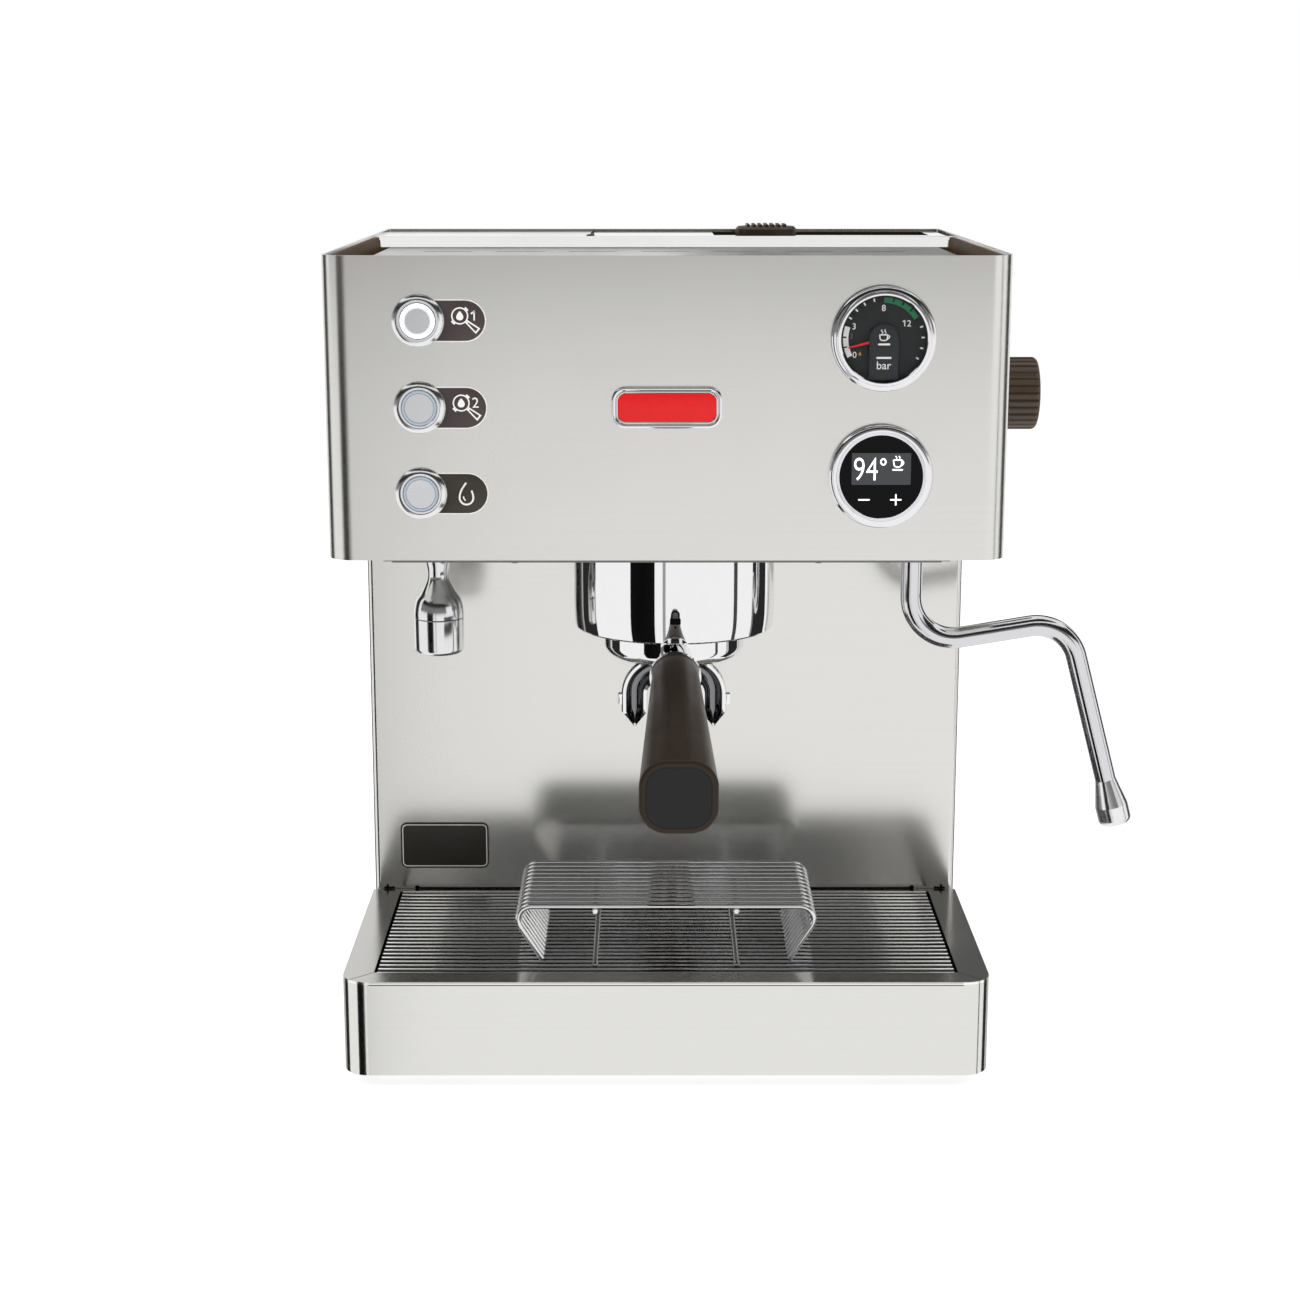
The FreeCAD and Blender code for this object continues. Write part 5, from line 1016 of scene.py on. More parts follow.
@dataclass
class CupMark:
    """Filter holder seen from above, with a drop in it and a number beside it."""

    depth: float = 0.1
    bowl: Flat = (18.2, 2.1)
    bowl_radius: float = 3.7
    bowl_line: float = 0.58
    bowl_segments: int = 48
    drop: Flat = (3.1, 4.0)
    drop_rise: float = 0.1
    overlap: float = 0.1
    lug_angles: Flat = (45.0, 225.0)
    lug: Cornered = (0.9, 1.9, 1.9)
    handle_angle: float = -40.0
    handle: Cornered = (6.6, 1.5, 3.0)
    hollow: Cornered = (4.9, 0.4, 1.6)
    hollow_shift: Flat = (0.75, -0.63)
    figure_size: float = 6.4
    figure_place: Flat = (24.4, 2.0)
    flag_start: Flat = (24.6, 4.1)
    flag: Cornered = (1.9, 0.7, 0.7)

    def draw(self, name: str, figure: str, place: Matrix, ground: Finish) -> None:
        """Print the mark, and the hollow of its handle in the pill's own colour.

        Args:
            name: Start of the pieces' names.
            figure: Number of cups.
            place: Where the button's centre sits on the pill's face.
            ground: Finish of the pill.
        """
        bowl = Vector(self.bowl)
        rim = ring_section(self.bowl_radius - self.bowl_line, self.bowl_radius, 0, self.depth)
        mark = Form().lathe(rim, shifted(place, *self.bowl), True, self.bowl_segments)
        mark.plate(teardrop(*self.drop, bowl.x, bowl.y + self.drop_rise), place, self.depth)
        reach = self.bowl_radius - self.overlap
        for angle in self.lug_angles:
            mark.plate(tapered(bowl + heading(angle) * reach, angle, *self.lug), place, self.depth)
        start = bowl + heading(self.handle_angle) * reach
        mark.plate(tapered(start, self.handle_angle, *self.handle), place, self.depth)
        mark.words(figure, self.figure_size, shifted(place, *self.figure_place), self.depth)
        if figure == "1":
            mark.plate(tapered(self.flag_start, FLAG_ANGLE, *self.flag), place, self.depth)
        mark.add(f"{name}_mark", PALE_PRINT, "button_steel")
        inside = tapered(start + Vector(self.hollow_shift), self.handle_angle, *self.hollow)
        hollow = Form().plate(inside, shifted(place, z=self.depth), self.depth / 2)
        hollow.add(f"{name}_mark_hollow", ground, "dark_plastic")


@dataclass
class DropMark:
    """Open drop with a short stroke inside it."""

    lift: float = 0.1
    x: float = 19.8
    size: Flat = (6.0, 9.6)
    points: int = 64
    drawn: int = 52
    line: float = 0.42
    shine_start: Flat = (-1.3, -1.2)
    shine_bend: float = 0.9
    shine_drop: float = 1.9
    shine_shares: tuple[float, ...] = (0.0, 0.3, 0.6, 1.0)
    shine_line: float = 0.3

    def draw(self, name: str, place: Matrix) -> None:
        """Print the drop and the stroke.

        Args:
            name: Start of the piece's name.
            place: Where the button's centre sits on the pill's face.
        """
        drop = teardrop(*self.size, self.x, 0.0, self.points)
        mark = Form().stroke(drop[:self.drawn], place, self.lift, self.line)
        side, start = self.shine_start
        shine = [Vector((self.x + side + self.shine_bend * t * t, start - self.shine_drop * t))
                 for t in self.shine_shares]
        mark.stroke(shine, place, self.lift, self.shine_line)
        mark.add(f"{name}_mark", PALE_PRINT, "button_steel")


@dataclass
class HeadPanel:
    """Badge, pills, screws, and a dark strip of painted shade along the lower lip, on the front of the head.
    """

    badge_height: float = 314.8
    badge_outside: Cornered = (48.4, 18.4, 6.2)
    badge_groove: Cornered = (44.4, 14.2, 4.3)
    badge_window: Cornered = (42.8, 12.4, 3.5)
    badge_proud: float = 1.8
    badge_crown: float = 0.22
    badge_back: float = 0.6
    bead_base: float = 0.7
    bead_rise: float = 0.6
    field_depth: float = 1.1
    field_edge: float = 0.15
    bezel_radius: float = 11.4
    pill_height: float = 17.3
    pill_reach: float = 29.0
    pill_line: float = 0.5
    pill_line_depth: float = 0.2
    pill_depth: float = 0.35
    pill_edge: float = 0.05
    pill_near_steps: int = 16
    pill_end_steps: int = 24
    screw_x: float = 67.5
    screw_place: Flat = (-130.0, 246.2)
    screw_size: Flat = (3.2, 1.9)
    screw_segments: int = 32
    lip_half: float = 121.2
    lip_setback: float = 0.3

    def badge(self) -> None:
        """Bare red field in a rounded chrome frame."""
        place = facing_front(0, PANEL_FACE, self.badge_height)
        sizes = (self.badge_outside, self.badge_groove, self.badge_window)
        outer, middle, inner = (rounded_box(*size) for size in sizes)
        surround = Form().border(outer, middle, place, self.badge_proud, self.badge_crown)
        surround.border(middle, inner, shifted(place, z=self.bead_base), self.bead_rise, self.badge_crown)
        surround.plate(outer, place, self.badge_back)
        surround.add("badge_frame", CHROME, "chrome_parts")
        red = Form().plate(inner, place, self.field_depth, self.field_edge)
        red.add("badge_field", BADGE_RED, "needle_red")

    def pill_outline(self, grow: float) -> list[Vector]:
        """Outline of a pill that starts at the bezel and ends in a half circle.

        Args:
            grow: Extra width all round.

        Returns:
            Points about the button's centre.
        """
        half = self.pill_height / 2 + grow
        spread = math.degrees(math.asin(half / self.bezel_radius))
        centre = Vector((self.pill_reach - self.pill_height / 2, 0))
        end = [centre + point for point in arc(half, -90.0, 90.0, self.pill_end_steps)]
        return arc(self.bezel_radius, spread, -spread, self.pill_near_steps) + end

    def pills(self) -> None:
        """Lay the three pills and draw their marks."""
        plans = (("one_cup", "1", PILL_BROWN), ("two_cup", "2", PILL_BROWN), ("water", "", PILL_OLIVE))
        for (name, figure, ground), height in zip(plans, BUTTON_HEIGHTS):
            place = facing_front(BUTTON_X, PANEL_FACE, height)
            line = Form().plate(self.pill_outline(self.pill_line), place, self.pill_line_depth)
            line.add(f"{name}_pill_line", PALE_PRINT, "button_steel")
            pill = Form().plate(self.pill_outline(0.0), place, self.pill_depth, self.pill_edge)
            pill.add(f"{name}_pill", ground, "dark_plastic")
            top = shifted(place, z=self.pill_depth)
            if figure:
                CupMark().draw(name, figure, top, ground)
            else:
                DropMark().draw(name, top)

    def screws(self) -> None:
        """Two domed screw heads under the front of the head."""
        heads = Form()
        for x in (-self.screw_x, self.screw_x):
            place = along(Vector((x, *self.screw_place)), DOWN)
            heads.lathe(dome(*self.screw_size), place, False, self.screw_segments)
        heads.add("floor_screws", CHROME, "chrome_parts")

    def lip(self) -> None:
        """Dark strip of painted shade along the front edge of the plate under the head."""
        low, high = box_of("head_floor")
        outline = flat_box(PANEL_FACE + self.lip_setback, low.z, low.y, high.z)
        edge = Form().plate(outline, across(-self.lip_half), 2 * self.lip_half)
        # Painted shade: a dark steel strip along the plate's front edge.
        edge.add("floor_lip_painted_shade", SHADE_STRIP_STEEL, "steel_sheet")

    def build(self) -> None:
        """Build everything on the panel."""
        self.badge()
        self.pills()
        self.screws()
        self.lip()


@dataclass
class Buttons:
    """Bezels and light rings of the three buttons."""

    bezel: tuple[Flat, ...] = ((8.0, 0.0), (11.3, 0.0), (11.3, 1.2), (11.0, 1.6), (9.4, 2.5), (9.05, 2.55),
                               (8.9, 2.3), (8.8, 1.7), (8.0, 1.7))
    cap_front: float = 2.2
    ring: Flat = (6.3, 7.75)
    ring_rise: float = 0.22
    ring_edge: float = 0.1
    line: float = 0.22
    line_rise: float = 0.26
    disc_rise: float = 0.12
    halo: float = 0.9
    halo_rise: float = 0.176
    halo_edge: float = 0.05

    def cap(self, place: Matrix, body: Body, light: Finish) -> None:
        """Lay the ring, its fine edges and the disc on one cap.

        Args:
            place: Middle of the cap's front.
            body: Body of the button.
            light: Finish of the ring, lit or unlit.
        """
        inner, outer = self.ring
        ring = Form().lathe(ring_section(inner, outer, 0.0, self.ring_rise, self.ring_edge), place, True)
        ring.add(f"{body.value}_ring", light, "button_steel", body)
        edges = Form().lathe(ring_section(outer - self.line, outer, 0.0, self.line_rise), place, True)
        if light is RING_BLUE:
            edges.lathe(ring_section(inner, inner + self.line, 0.0, self.line_rise), place, True)
        edges.add(f"{body.value}_ring_edges", RING_EDGE, "button_steel", body)
        disc = Form().lathe(ring_section(0.0, inner, 0.0, self.disc_rise), place, True)
        disc.add(f"{body.value}_disc", BUTTON_STEEL, "button_steel", body)

    def build(self) -> None:
        """Turn the bezels, dress each cap and add the glow inside the lit ring."""
        bezels = Form()
        for height in BUTTON_HEIGHTS:
            bezels.lathe(self.bezel, facing_front(BUTTON_X, PANEL_FACE, height), True)
        bezels.add("button_bezel_rings", SATIN_CHROME, "chrome_parts", replaces=("button_bezels",))
        bodies = (Body.ONE_CUP, Body.TWO_CUP, Body.WATER)
        lights = (LIT_WHITE, RING_BLUE, RING_BLUE)
        fronts = [facing_front(BUTTON_X, PANEL_FACE - self.cap_front, height) for height in BUTTON_HEIGHTS]
        for front, body, light in zip(fronts, bodies, lights):
            self.cap(front, body, light)
        inner = self.ring[0]
        halo = ring_section(inner - self.halo, inner, 0.0, self.halo_rise, self.halo_edge)
        glow = Form().lathe(halo, fronts[0], True)
        glow.add("one_cup_button_halo", LIT_SOFT, "button_steel", Body.ONE_CUP)


@dataclass
class Gauge:
    """Bezel and printed dial of the pressure gauge, and the cover over its hub."""

    centre: Flat = (93.5, 344.6)
    bezel_section: tuple[Flat, ...] = (
        (18.7, 4.1), (18.7, 4.3), (19.0, 4.55), (19.6, 4.6), (20.3, 4.45), (20.6, 4.1), (20.9, 4.0),
        (21.6, 3.9), (22.2, 3.72), (22.6, 3.3), (22.85, 2.7), (22.85, 0.0), (20.65, 0.0), (20.65, -24.0),
        (0.0, -24.0), (0.0, -1.0), (19.65, -1.0), (19.65, 4.1))
    needle_gap: float = 0.9
    depth: float = 0.08
    band: Flat = (15.3, 17.6)
    pale_arc: Flat = (162.0, 208.0)
    green_arc: Flat = (32.5, 90.5)
    tick_angles: tuple[float, ...] = (105.0, 120.0, 134.5, 149.0, 17.4, 1.7, -14.0, -30.0)
    tick_radius: float = 16.3
    tick: Cornered = (1.4, 0.65, 0.65)
    notch_angles: tuple[float, ...] = (178.0, 192.6, 76.5, 61.7, 46.6)
    notch_radius: float = 16.2
    notch: Cornered = (1.4, 0.6, 0.6)
    figures: tuple[tuple[str, float, float], ...] = (
        ("3", -12.9, 5.1), ("0", -12.5, -7.1), ("8", -0.3, 13.0), ("12", 9.85, 6.4))
    figure_size: float = 3.8
    flag_start: Flat = (8.75, 7.75)
    flag: Cornered = (0.9, 0.4, 0.4)
    dim_figure: str = "2"
    dim_place: Flat = (-14.0, 1.0)
    dim_size: float = 3.0
    ochre_drop: tuple[float, ...] = (1.2, 1.7, -10.2, -6.5)
    cover_half: float = 6.3
    cover_low: float = 1.55
    cover_high: float = 2.0
    cover_edge: float = 0.15
    cover_steps: int = 32
    foot_low: float = -17.6
    foot_high: float = -5.5
    cup: CupSign = CupSign(
        ((-2.0, 1.8, 0.0), (-1.7, -0.6, 1.0), (1.2, -0.6, 1.0), (1.5, 1.8, 0.0)),
        ((1.5, 1.5, 0.0), (2.9, 1.4, 0.5), (1.4, -0.1, 0.0)),
        (-1.0, 0.4), 2.3, 0.45, 0.35, 5, (0.25, 0.22, 0.2))
    cover_lines: tuple[tuple[float, ...], ...] = ((5.2, 0.8, 0.3, 0.0, -2.3), (6.4, 0.8, 0.2, 0.0, -8.1))
    unit: str = "bar"
    unit_size: float = 4.9
    unit_drop: float = 11.5

    def scale(self, place: Matrix) -> None:
        """Print the arcs, ticks and figures.

        Args:
            place: Middle of the dial's face.
        """
        pale = Form().plate(arc_band(*self.band, *self.pale_arc), place, self.depth)
        for angle in self.tick_angles:
            pale.plate(tapered(heading(angle) * self.tick_radius, angle, *self.tick), place, self.depth)
        for text, x, y in self.figures:
            pale.words(text, self.figure_size, shifted(place, x, y), self.depth)
        pale.plate(tapered(self.flag_start, FLAG_ANGLE, *self.flag), place, self.depth)
        pale.add("dial_scale", PALE_PRINT, "dial_black")
        dim = Form().words(self.dim_figure, self.dim_size, shifted(place, *self.dim_place), self.depth)
        dim.add("dial_dim_figure", DIM_PRINT, "dial_black")
        green = Form().plate(arc_band(*self.band, *self.green_arc), place, self.depth)
        green.add("dial_green", GREEN_PRINT, "dial_black")
        above = shifted(place, z=self.depth)
        notches = Form()
        for angle in self.notch_angles:
            bar = tapered(heading(angle) * self.notch_radius, angle, *self.notch)
            notches.plate(bar, above, self.depth / 2)
        notches.add("dial_notches", BLACK_PRINT, "dial_black")
        ochre = Form().plate(teardrop(*self.ochre_drop), place, self.depth)
        ochre.add("dial_ochre_mark", OCHRE_PRINT, "dial_black")

    def cover(self, place: Matrix) -> None:
        """Stand the arch-shaped cover over the hub on a foot below the needle.

        Args:
            place: Middle of the dial's face.
        """
        half = self.cover_half
        outline = arc(half, 0.0, 180.0, self.cover_steps)
        outline += [Vector((-half, self.foot_low)), Vector((half, self.foot_low))]
        thick = self.cover_high - self.cover_low
        cover = Form().plate(outline, shifted(place, z=self.cover_low), thick, self.cover_edge)
        cover.plate(flat_box(-half, self.foot_low, half, self.foot_high), place, self.cover_low)
        cover.add("dial_cover", DIAL_COVER, "dial_black")

    def cover_marks(self, place: Matrix) -> None:
        """Print the cup, the lines and the unit on the cover.

        Args:
            place: Middle of the dial's face.
        """
        front = shifted(place, z=self.cover_high)
        marks = Form()
        for line in self.cover_lines:
            marks.plate(rounded_box(*line), front, self.depth)
        self.cup.draw(marks, front, self.depth)
        marks.words(self.unit, self.unit_size, shifted(front, y=-self.unit_drop), self.depth)
        marks.add("dial_cover_marks", PALE_PRINT, "dial_black")

    def build(self) -> None:
        """Turn the bezel, print the dial and set the cover on it."""
        x, z = self.centre
        bezel = Form().lathe(self.bezel_section, facing_front(x, PANEL_FACE, z), True, FINE_SEGMENTS)
        bezel.add("gauge_bezel", BEZEL_CHROME, "chrome_parts", replaces=("gauge_case",))
        place = facing_front(x, box_of("gauge_needle")[1].y + self.needle_gap, z)
        self.scale(place)
        self.cover(place)
        self.cover_marks(place)


@dataclass
class Display:
    """Bezel, lit screen and touch marks of the temperature display."""

    centre: Flat = (93.4, 284.8)
    bezel_section: tuple[Flat, ...] = (
        (18.15, 3.0), (18.15, 3.7), (18.35, 3.95), (18.8, 3.95), (19.05, 3.6), (19.35, 3.6), (19.6, 3.95),
        (20.2, 4.0), (21.7, 3.88), (22.2, 3.6), (22.7, 2.9), (22.7, 0.0), (19.35, 0.0), (19.35, -20.0),
        (0.0, -20.0), (0.0, -1.0), (18.35, -1.0), (18.35, 3.0))
    depth: float = 0.08
    screen: tuple[float, ...] = (25.8, 13.9, 0.4, 0.0, 3.45)
    figure: str = "94"
    figure_size: float = 14.8
    figure_place: Flat = (-6.8, 2.8)
    figure_narrowing: float = 0.76
    figure_weight: float = -0.14
    degree_place: Flat = (0.8, 6.6)
    degree_radii: Flat = (1.05, 1.3)
    degree_steps: int = 24
    degree_line: float = 0.34
    cup: CupSign = CupSign(
        ((5.2, 7.4, 0.0), (5.6, 4.4, 1.2), (8.6, 4.4, 1.2), (9.0, 7.4, 0.0)),
        ((8.9, 7.0, 0.0), (10.4, 6.6, 0.8), (8.8, 5.0, 0.0)),
        (6.4, 7.8), 8.0, 0.4, 0.3, 4, (0.28, 0.25, 0.24))
    saucer: tuple[float, ...] = (4.6, 0.7, 0.3, 7.1, 3.1)
    sign_length: float = 5.0
    sign_line: float = 0.62
    sign_corner: float = 0.25
    sign_y: float = -10.1
    minus_x: float = -7.3
    plus_x: float = 6.6
    plus_lift: float = 1.2

    def readout(self, marks: Form, front: Matrix) -> None:
        """Light the figures, the degree ring and the cup.

        Args:
            marks: Mesh to add them to.
            front: Middle of the screen's face.
        """
        narrow = shifted(front, *self.figure_place) @ Matrix.Diagonal((self.figure_narrowing, 1, 1, 1))
        marks.words(self.figure, self.figure_size, narrow, self.depth, self.figure_weight)
        x, y = self.degree_place
        wide, tall = self.degree_radii
        ring = [Vector((x + wide * p.x, y + tall * p.y)) for p in arc(1.0, 0.0, 360.0, self.degree_steps)]
        marks.stroke(ring, front, self.depth, self.degree_line)
        self.cup.draw(marks, front, self.depth)
        marks.plate(rounded_box(*self.saucer), front, self.depth)

    def signs(self, marks: Form, place: Matrix) -> None:
        """Light the minus and the plus below the screen.

        Args:
            marks: Mesh to add them to.
            place: Middle of the glass's face.
        """
        long, short, corner = self.sign_length, self.sign_line, self.sign_corner
        for x in (self.minus_x, self.plus_x):
            marks.plate(rounded_box(long, short, corner, x, self.sign_y), place, self.depth)
        upright = rounded_box(short, long, corner, self.plus_x, self.sign_y)
        marks.plate(upright, place, self.depth * self.plus_lift)

    def build(self) -> None:
        """Turn the bezel, lay the screen and light its figures."""
        x, z = self.centre
        bezel = Form().lathe(self.bezel_section, facing_front(x, PANEL_FACE, z), True, FINE_SEGMENTS)
        bezel.add("display_ring", BEZEL_CHROME, "chrome_parts", replaces=("display_bezel",))
        place = facing_front(x, box_of("display_glass")[0].y, z)
        screen = Form().plate(rounded_box(*self.screen), place, self.depth)
        screen.add("display_screen", SCREEN_GREY, "display_black")
        marks = Form()
        self.readout(marks, shifted(place, z=self.depth))
        self.signs(marks, place)
        marks.add("display_marks", SCREEN_WHITE, "display_black")


@dataclass
class Column:
    """Bare plate, foot slot and clips on the wall behind the cups."""

    wall: float = -6.6
    plate_centre: Flat = (-112.15, 75.6)
    plate_size: Cornered = (44.9, 24.0, 3.2)
    plate_depth: float = 0.7
    plate_edge: float = 0.15
    border_outside: Cornered = (43.1, 22.2, 2.4)
    border_inside: Cornered = (42.3, 21.4, 2.0)
    border_rise: float = 0.1
    slot_half: float = 126.7
    slot_height: float = 52.75
    slot_width: float = 0.7
    slot_corner: float = 0.3
    slot_depth: float = 0.1
    slot_end: Cornered = (2.4, 2.0, 0.9)
    slot_end_rise: float = 0.3
    clip_x: float = 141.0
    clip_bar: Cornered = (5.6, 0.9, 0.3)
    clip_bar_rise: float = 0.2
    clip_depth: float = 0.12
    tab: Cornered = (1.2, 2.6, 0.3)
    tab_place: Flat = (0.9, 0.6)
    tab_depth: float = 0.14

    def foot_slot(self) -> None:
        """Draw the slot with its round ends as a black strip of painted shade, and the black clip beside each
        end.
        """
        place = facing_front(0, self.wall, self.slot_height)
        slot = rounded_box(2 * self.slot_half, self.slot_width, self.slot_corner)
        marks = Form().plate(slot, place, self.slot_depth)
        tab_x, tab_rise = self.tab_place
        for side in (-1, 1):
            end = rounded_box(*self.slot_end, side * self.slot_half, self.slot_end_rise)
            bar = rounded_box(*self.clip_bar, side * self.clip_x, self.clip_bar_rise)
            tab = rounded_box(*self.tab, side * (self.clip_x + tab_x), tab_rise)
            marks.plate(end, place, self.clip_depth)
            marks.plate(bar, place, self.clip_depth)
            marks.plate(tab, place, self.tab_depth)
        # Painted shade: the slot's opening is a black strip laid on the wall.
        marks.add("wall_slot", BLACK_PRINT, "dark_plastic")

    def build(self) -> None:
        """Draw the slot, lay the plate and its pale border line."""
        self.foot_slot()
        x, z = self.plate_centre
        place = facing_front(x, self.wall, z)
        plate = Form().plate(rounded_box(*self.plate_size), place, self.plate_depth, self.plate_edge)
        plate.add("wall_plate", PLATE_DARK, "dark_plastic")
        outer, inner = rounded_box(*self.border_outside), rounded_box(*self.border_inside)
        line = Form().border(outer, inner, shifted(place, z=self.plate_depth), self.border_rise)
        line.add("wall_plate_line", PALE_PRINT, "button_steel")


@dataclass
class Group:
    """Polished bands round the group ring, and the lock mark on its front."""

    band_radius: float = 46.95
    band_bore: float = 43.8
    band_break: float = 224.1
    band_taper: float = 0.15
    band_turn: float = 0.55
    band_turn_power: int = 4
    band_edge: float = 0.8
    band_steps: int = 12
    mark_radius: float = 46.9
    mark_height: float = 216.5
    mark_depth: float = 0.1
    lock: Cornered = (4.9, 2.8, 0.4)
    bow: tuple[Cornered, ...] = ((-1.6, 1.3, 0.0), (-1.6, 4.7, 1.5), (1.6, 4.7, 1.5), (1.6, 1.3, 0.0))
    bow_lift: float = 0.05
    bow_line: float = 0.4
    dot: tuple[float, ...] = (1.0, 1.0, 0.45, 0.0, -2.7)

    def bands(self) -> None:
        """Turn the straight band, and the band under it that curves slowly inward."""
        low, high = (corner.z for corner in box_of("group_ring"))
        upper = flat_box(self.band_bore, self.band_break, self.band_radius, high)
        reach = self.band_break - low - self.band_edge
        curve = []
        for step in range(self.band_steps + 1):
            share = step / self.band_steps
            inward = self.band_taper * share + self.band_turn * share ** self.band_turn_power
            curve.append(Vector((self.band_radius - inward, self.band_break - reach * share)))
        foot = [Vector((curve[-1].x - self.band_edge, low)), Vector((self.band_bore, low))]
        lower = [*curve, *foot, Vector((self.band_bore, self.band_break))]
        for name, section in (("upper", upper), ("lower", lower[::-1])):
            band = Form().lathe(section, Matrix.Translation((*GROUP_AXIS, 0)), True, FINE_SEGMENTS)
            band.add(f"ring_{name}_band", CHROME, "chrome_parts")

    def build(self) -> None:
        """Turn the bands and print the padlock and its dot."""
        self.bands()
        x, y = GROUP_AXIS
        place = facing_front(x, y - self.mark_radius, self.mark_height)
        mark = Form().plate(rounded_box(*self.lock), place, self.mark_depth)
        mark.stroke(eased(self.bow, False), place, self.bow_lift, self.bow_line)
        mark.plate(rounded_box(*self.dot), place, self.mark_depth)
        mark.add("lock_mark", BLACK_PRINT, "dark_plastic")


@dataclass
class WaterSpout:
    """Hot water outlet: a waisted body and a turned nozzle."""

    axis: Flat = (-106.4, -79.0)
    top: float = 247.2
    body: tuple[Flat, ...] = ((6.0, 1.0), (6.0, 2.5), (5.9, 7.0), (5.8, 11.2), (5.0, 15.8), (5.3, 19.6),
                              (7.8, 24.9), (10.2, 28.4), (11.3, 31.9), (11.75, 35.2), (11.8, 37.3))
    nozzle: tuple[Cornered, ...] = ((5.3, 37.6, 0.0), (11.7, 37.6, 0.4), (11.7, 54.5, 2.6),
                                    (5.3, 54.5, 0.5))
    bore: float = 3.0

    def build(self) -> None:
        """Turn both pieces."""
        place = along(Vector((*self.axis, self.top)), DOWN)
        first, last = self.body[0][1], self.body[-1][1]
        section = [*flowing(self.body), Vector((self.bore, last)), Vector((self.bore, first))]
        body = Form().lathe(section, place, True)
        body.add("spout_body", SPOUT_STEEL, "chrome_parts", replaces=("water_spout",))
        nozzle = Form().lathe(eased(self.nozzle, True), place, True)
        nozzle.add("spout_end", SPOUT_STEEL, "chrome_parts", replaces=("spout_nozzle",))


@dataclass
class TwinSpout:
    """Two open channels under the filter holder, with pointed ends, and a dark layer of painted reflection
    inside each.
    """

    hub: tuple[Cornered, ...] = ((0.0, 182.3, 0.0), (9.0, 182.3, 2.0), (9.0, 191.4, 0.0), (0.0, 191.4, 0.0))
    channel_height: float = 184.2
    channel_start: float = 3.0
    spread: float = 18.6
    bend: float = 12.0
    tip: float = 156.6
    point: float = 7.0
    point_steps: int = 8
    point_least: float = 0.1
    outer: float = 6.3
    inner: float = 4.7
    # Thickness of the dark layer of painted reflection inside each channel.
    reflection_layer: float = 0.25
    opening: float = 28.0
    section_steps: int = 20
    nub: Cornered = (2.1, 5.2, 0.4)
    nub_reach: float = 25.45
    nub_height: float = 169.8
    nub_depth: float = 3.2
    nub_edge: float = 0.3

    def channel(self, form: Form, side: int, outer: float, inner: float) -> None:
        """Skin one channel.

        Args:
            form: Mesh to add it to.
            side: Minus one for the left channel, one for the right.
            outer: Radius of the outside.
            inner: Radius of the inside.
        """
        x, y = GROUP_AXIS
        drop = x + side * self.spread
        shoulder = Vector((drop, y, self.tip + self.point))
        end = Vector((drop, y, self.tip))
        start = Vector((x + side * self.channel_start, y, self.channel_height))
        path = bent([start, Vector((drop, y, self.channel_height)), shoulder], self.bend)
        path.extend(shoulder.lerp(end, step / self.point_steps) for step in range(1, self.point_steps + 1))
        section = arc_band(inner, outer, -self.opening, 180 + self.opening, self.section_steps)
        loops = []
        for index, spot in enumerate(path):
            onward = (path[min(index + 1, len(path) - 1)] - path[max(index - 1, 0)]).normalized()
            sideways = Vector((-onward.z, 0, onward.x))
            narrow = min(1.0, max(self.point_least, (spot.z - self.tip) / self.point))
            loops.append([spot + sideways * p.x * narrow + Vector((0, p.y, 0)) for p in section])
        form.rings(loops)

    def build(self) -> None:
        """Build the hub, both channels with their dark layer of painted reflection, and their nubs."""
        x, y = GROUP_AXIS
        form = Form().lathe(eased(self.hub, True), Matrix.Translation((x, y, 0)), True)
        reflection_layer = Form()
        for side in (-1, 1):
            self.channel(form, side, self.outer, self.inner)
            self.channel(reflection_layer, side, self.inner, self.inner - self.reflection_layer)
            place = facing_front(x + side * self.nub_reach, y + self.nub_depth / 2, self.nub_height)
            form.plate(rounded_box(*self.nub), place, self.nub_depth, self.nub_edge)
        form.add("spout_channels", CHROME, "chrome_parts", Body.PORTAFILTER, ("twin_spout",))
        # Painted reflection: a dark layer inside each channel.
        reflection_layer.add("spout_channel_painted_reflection", DARK_REFLECTION_STEEL, "chrome_parts", Body.PORTAFILTER)


@dataclass
class DripTray:
    """Folds of the drip tray's rim."""

    top: float = 52.3
    window: Flat = (135.0, -130.3)
    outside: Flat = (145.5, -139.8)
    front: float = -143.3
    line: float = 0.4
    line_sink: float = 0.02
    line_depth: float = 0.04
    hem_half: float = 136.0
    hem_radius: float = 0.55
    hem_sink: float = 0.15
    hem_sides: int = 24
    hem_ease: float = 0.2

    def build(self) -> None:
        """Draw the mitres and the front hem with its shadow line; the mitres and the line under the hem are
        dark plates of painted shade.
        """
        face = Matrix.Translation((0, 0, self.top - self.line_sink))
        lines = Form()
        for side in (-1, 1):
            start = Vector((side * self.window[0], self.window[1]))
            end = Vector((side * self.outside[0], self.outside[1]))
            angle = math.degrees(math.atan2(end.y - start.y, end.x - start.x))
            mitre = tapered(start, angle, (end - start).length, self.line, self.line)
            lines.plate(mitre, face, self.line_depth)
        low = self.top - 2 * self.hem_radius - self.line
        below = facing_front(0, self.front + self.line_sink, low)
        lines.plate(rounded_box(2 * self.hem_half, self.line, self.line / 3), below, self.line_depth)
        # Painted shade: dark plates in the mitre grooves and under the hem.
        lines.add("tray_lines", DARK, "dark_plastic", Body.DRIP_TRAY)
        y, z = self.front + self.hem_radius - self.hem_sink, self.top - self.hem_radius
        ends = [Vector((x, y, z)) for x in (-self.hem_half, self.hem_half)]
        hem = Form().sweep(ends, self.hem_radius, self.hem_sides, self.hem_ease)
        hem.add("tray_hem", CHROME, "steel_sheet", Body.DRIP_TRAY)


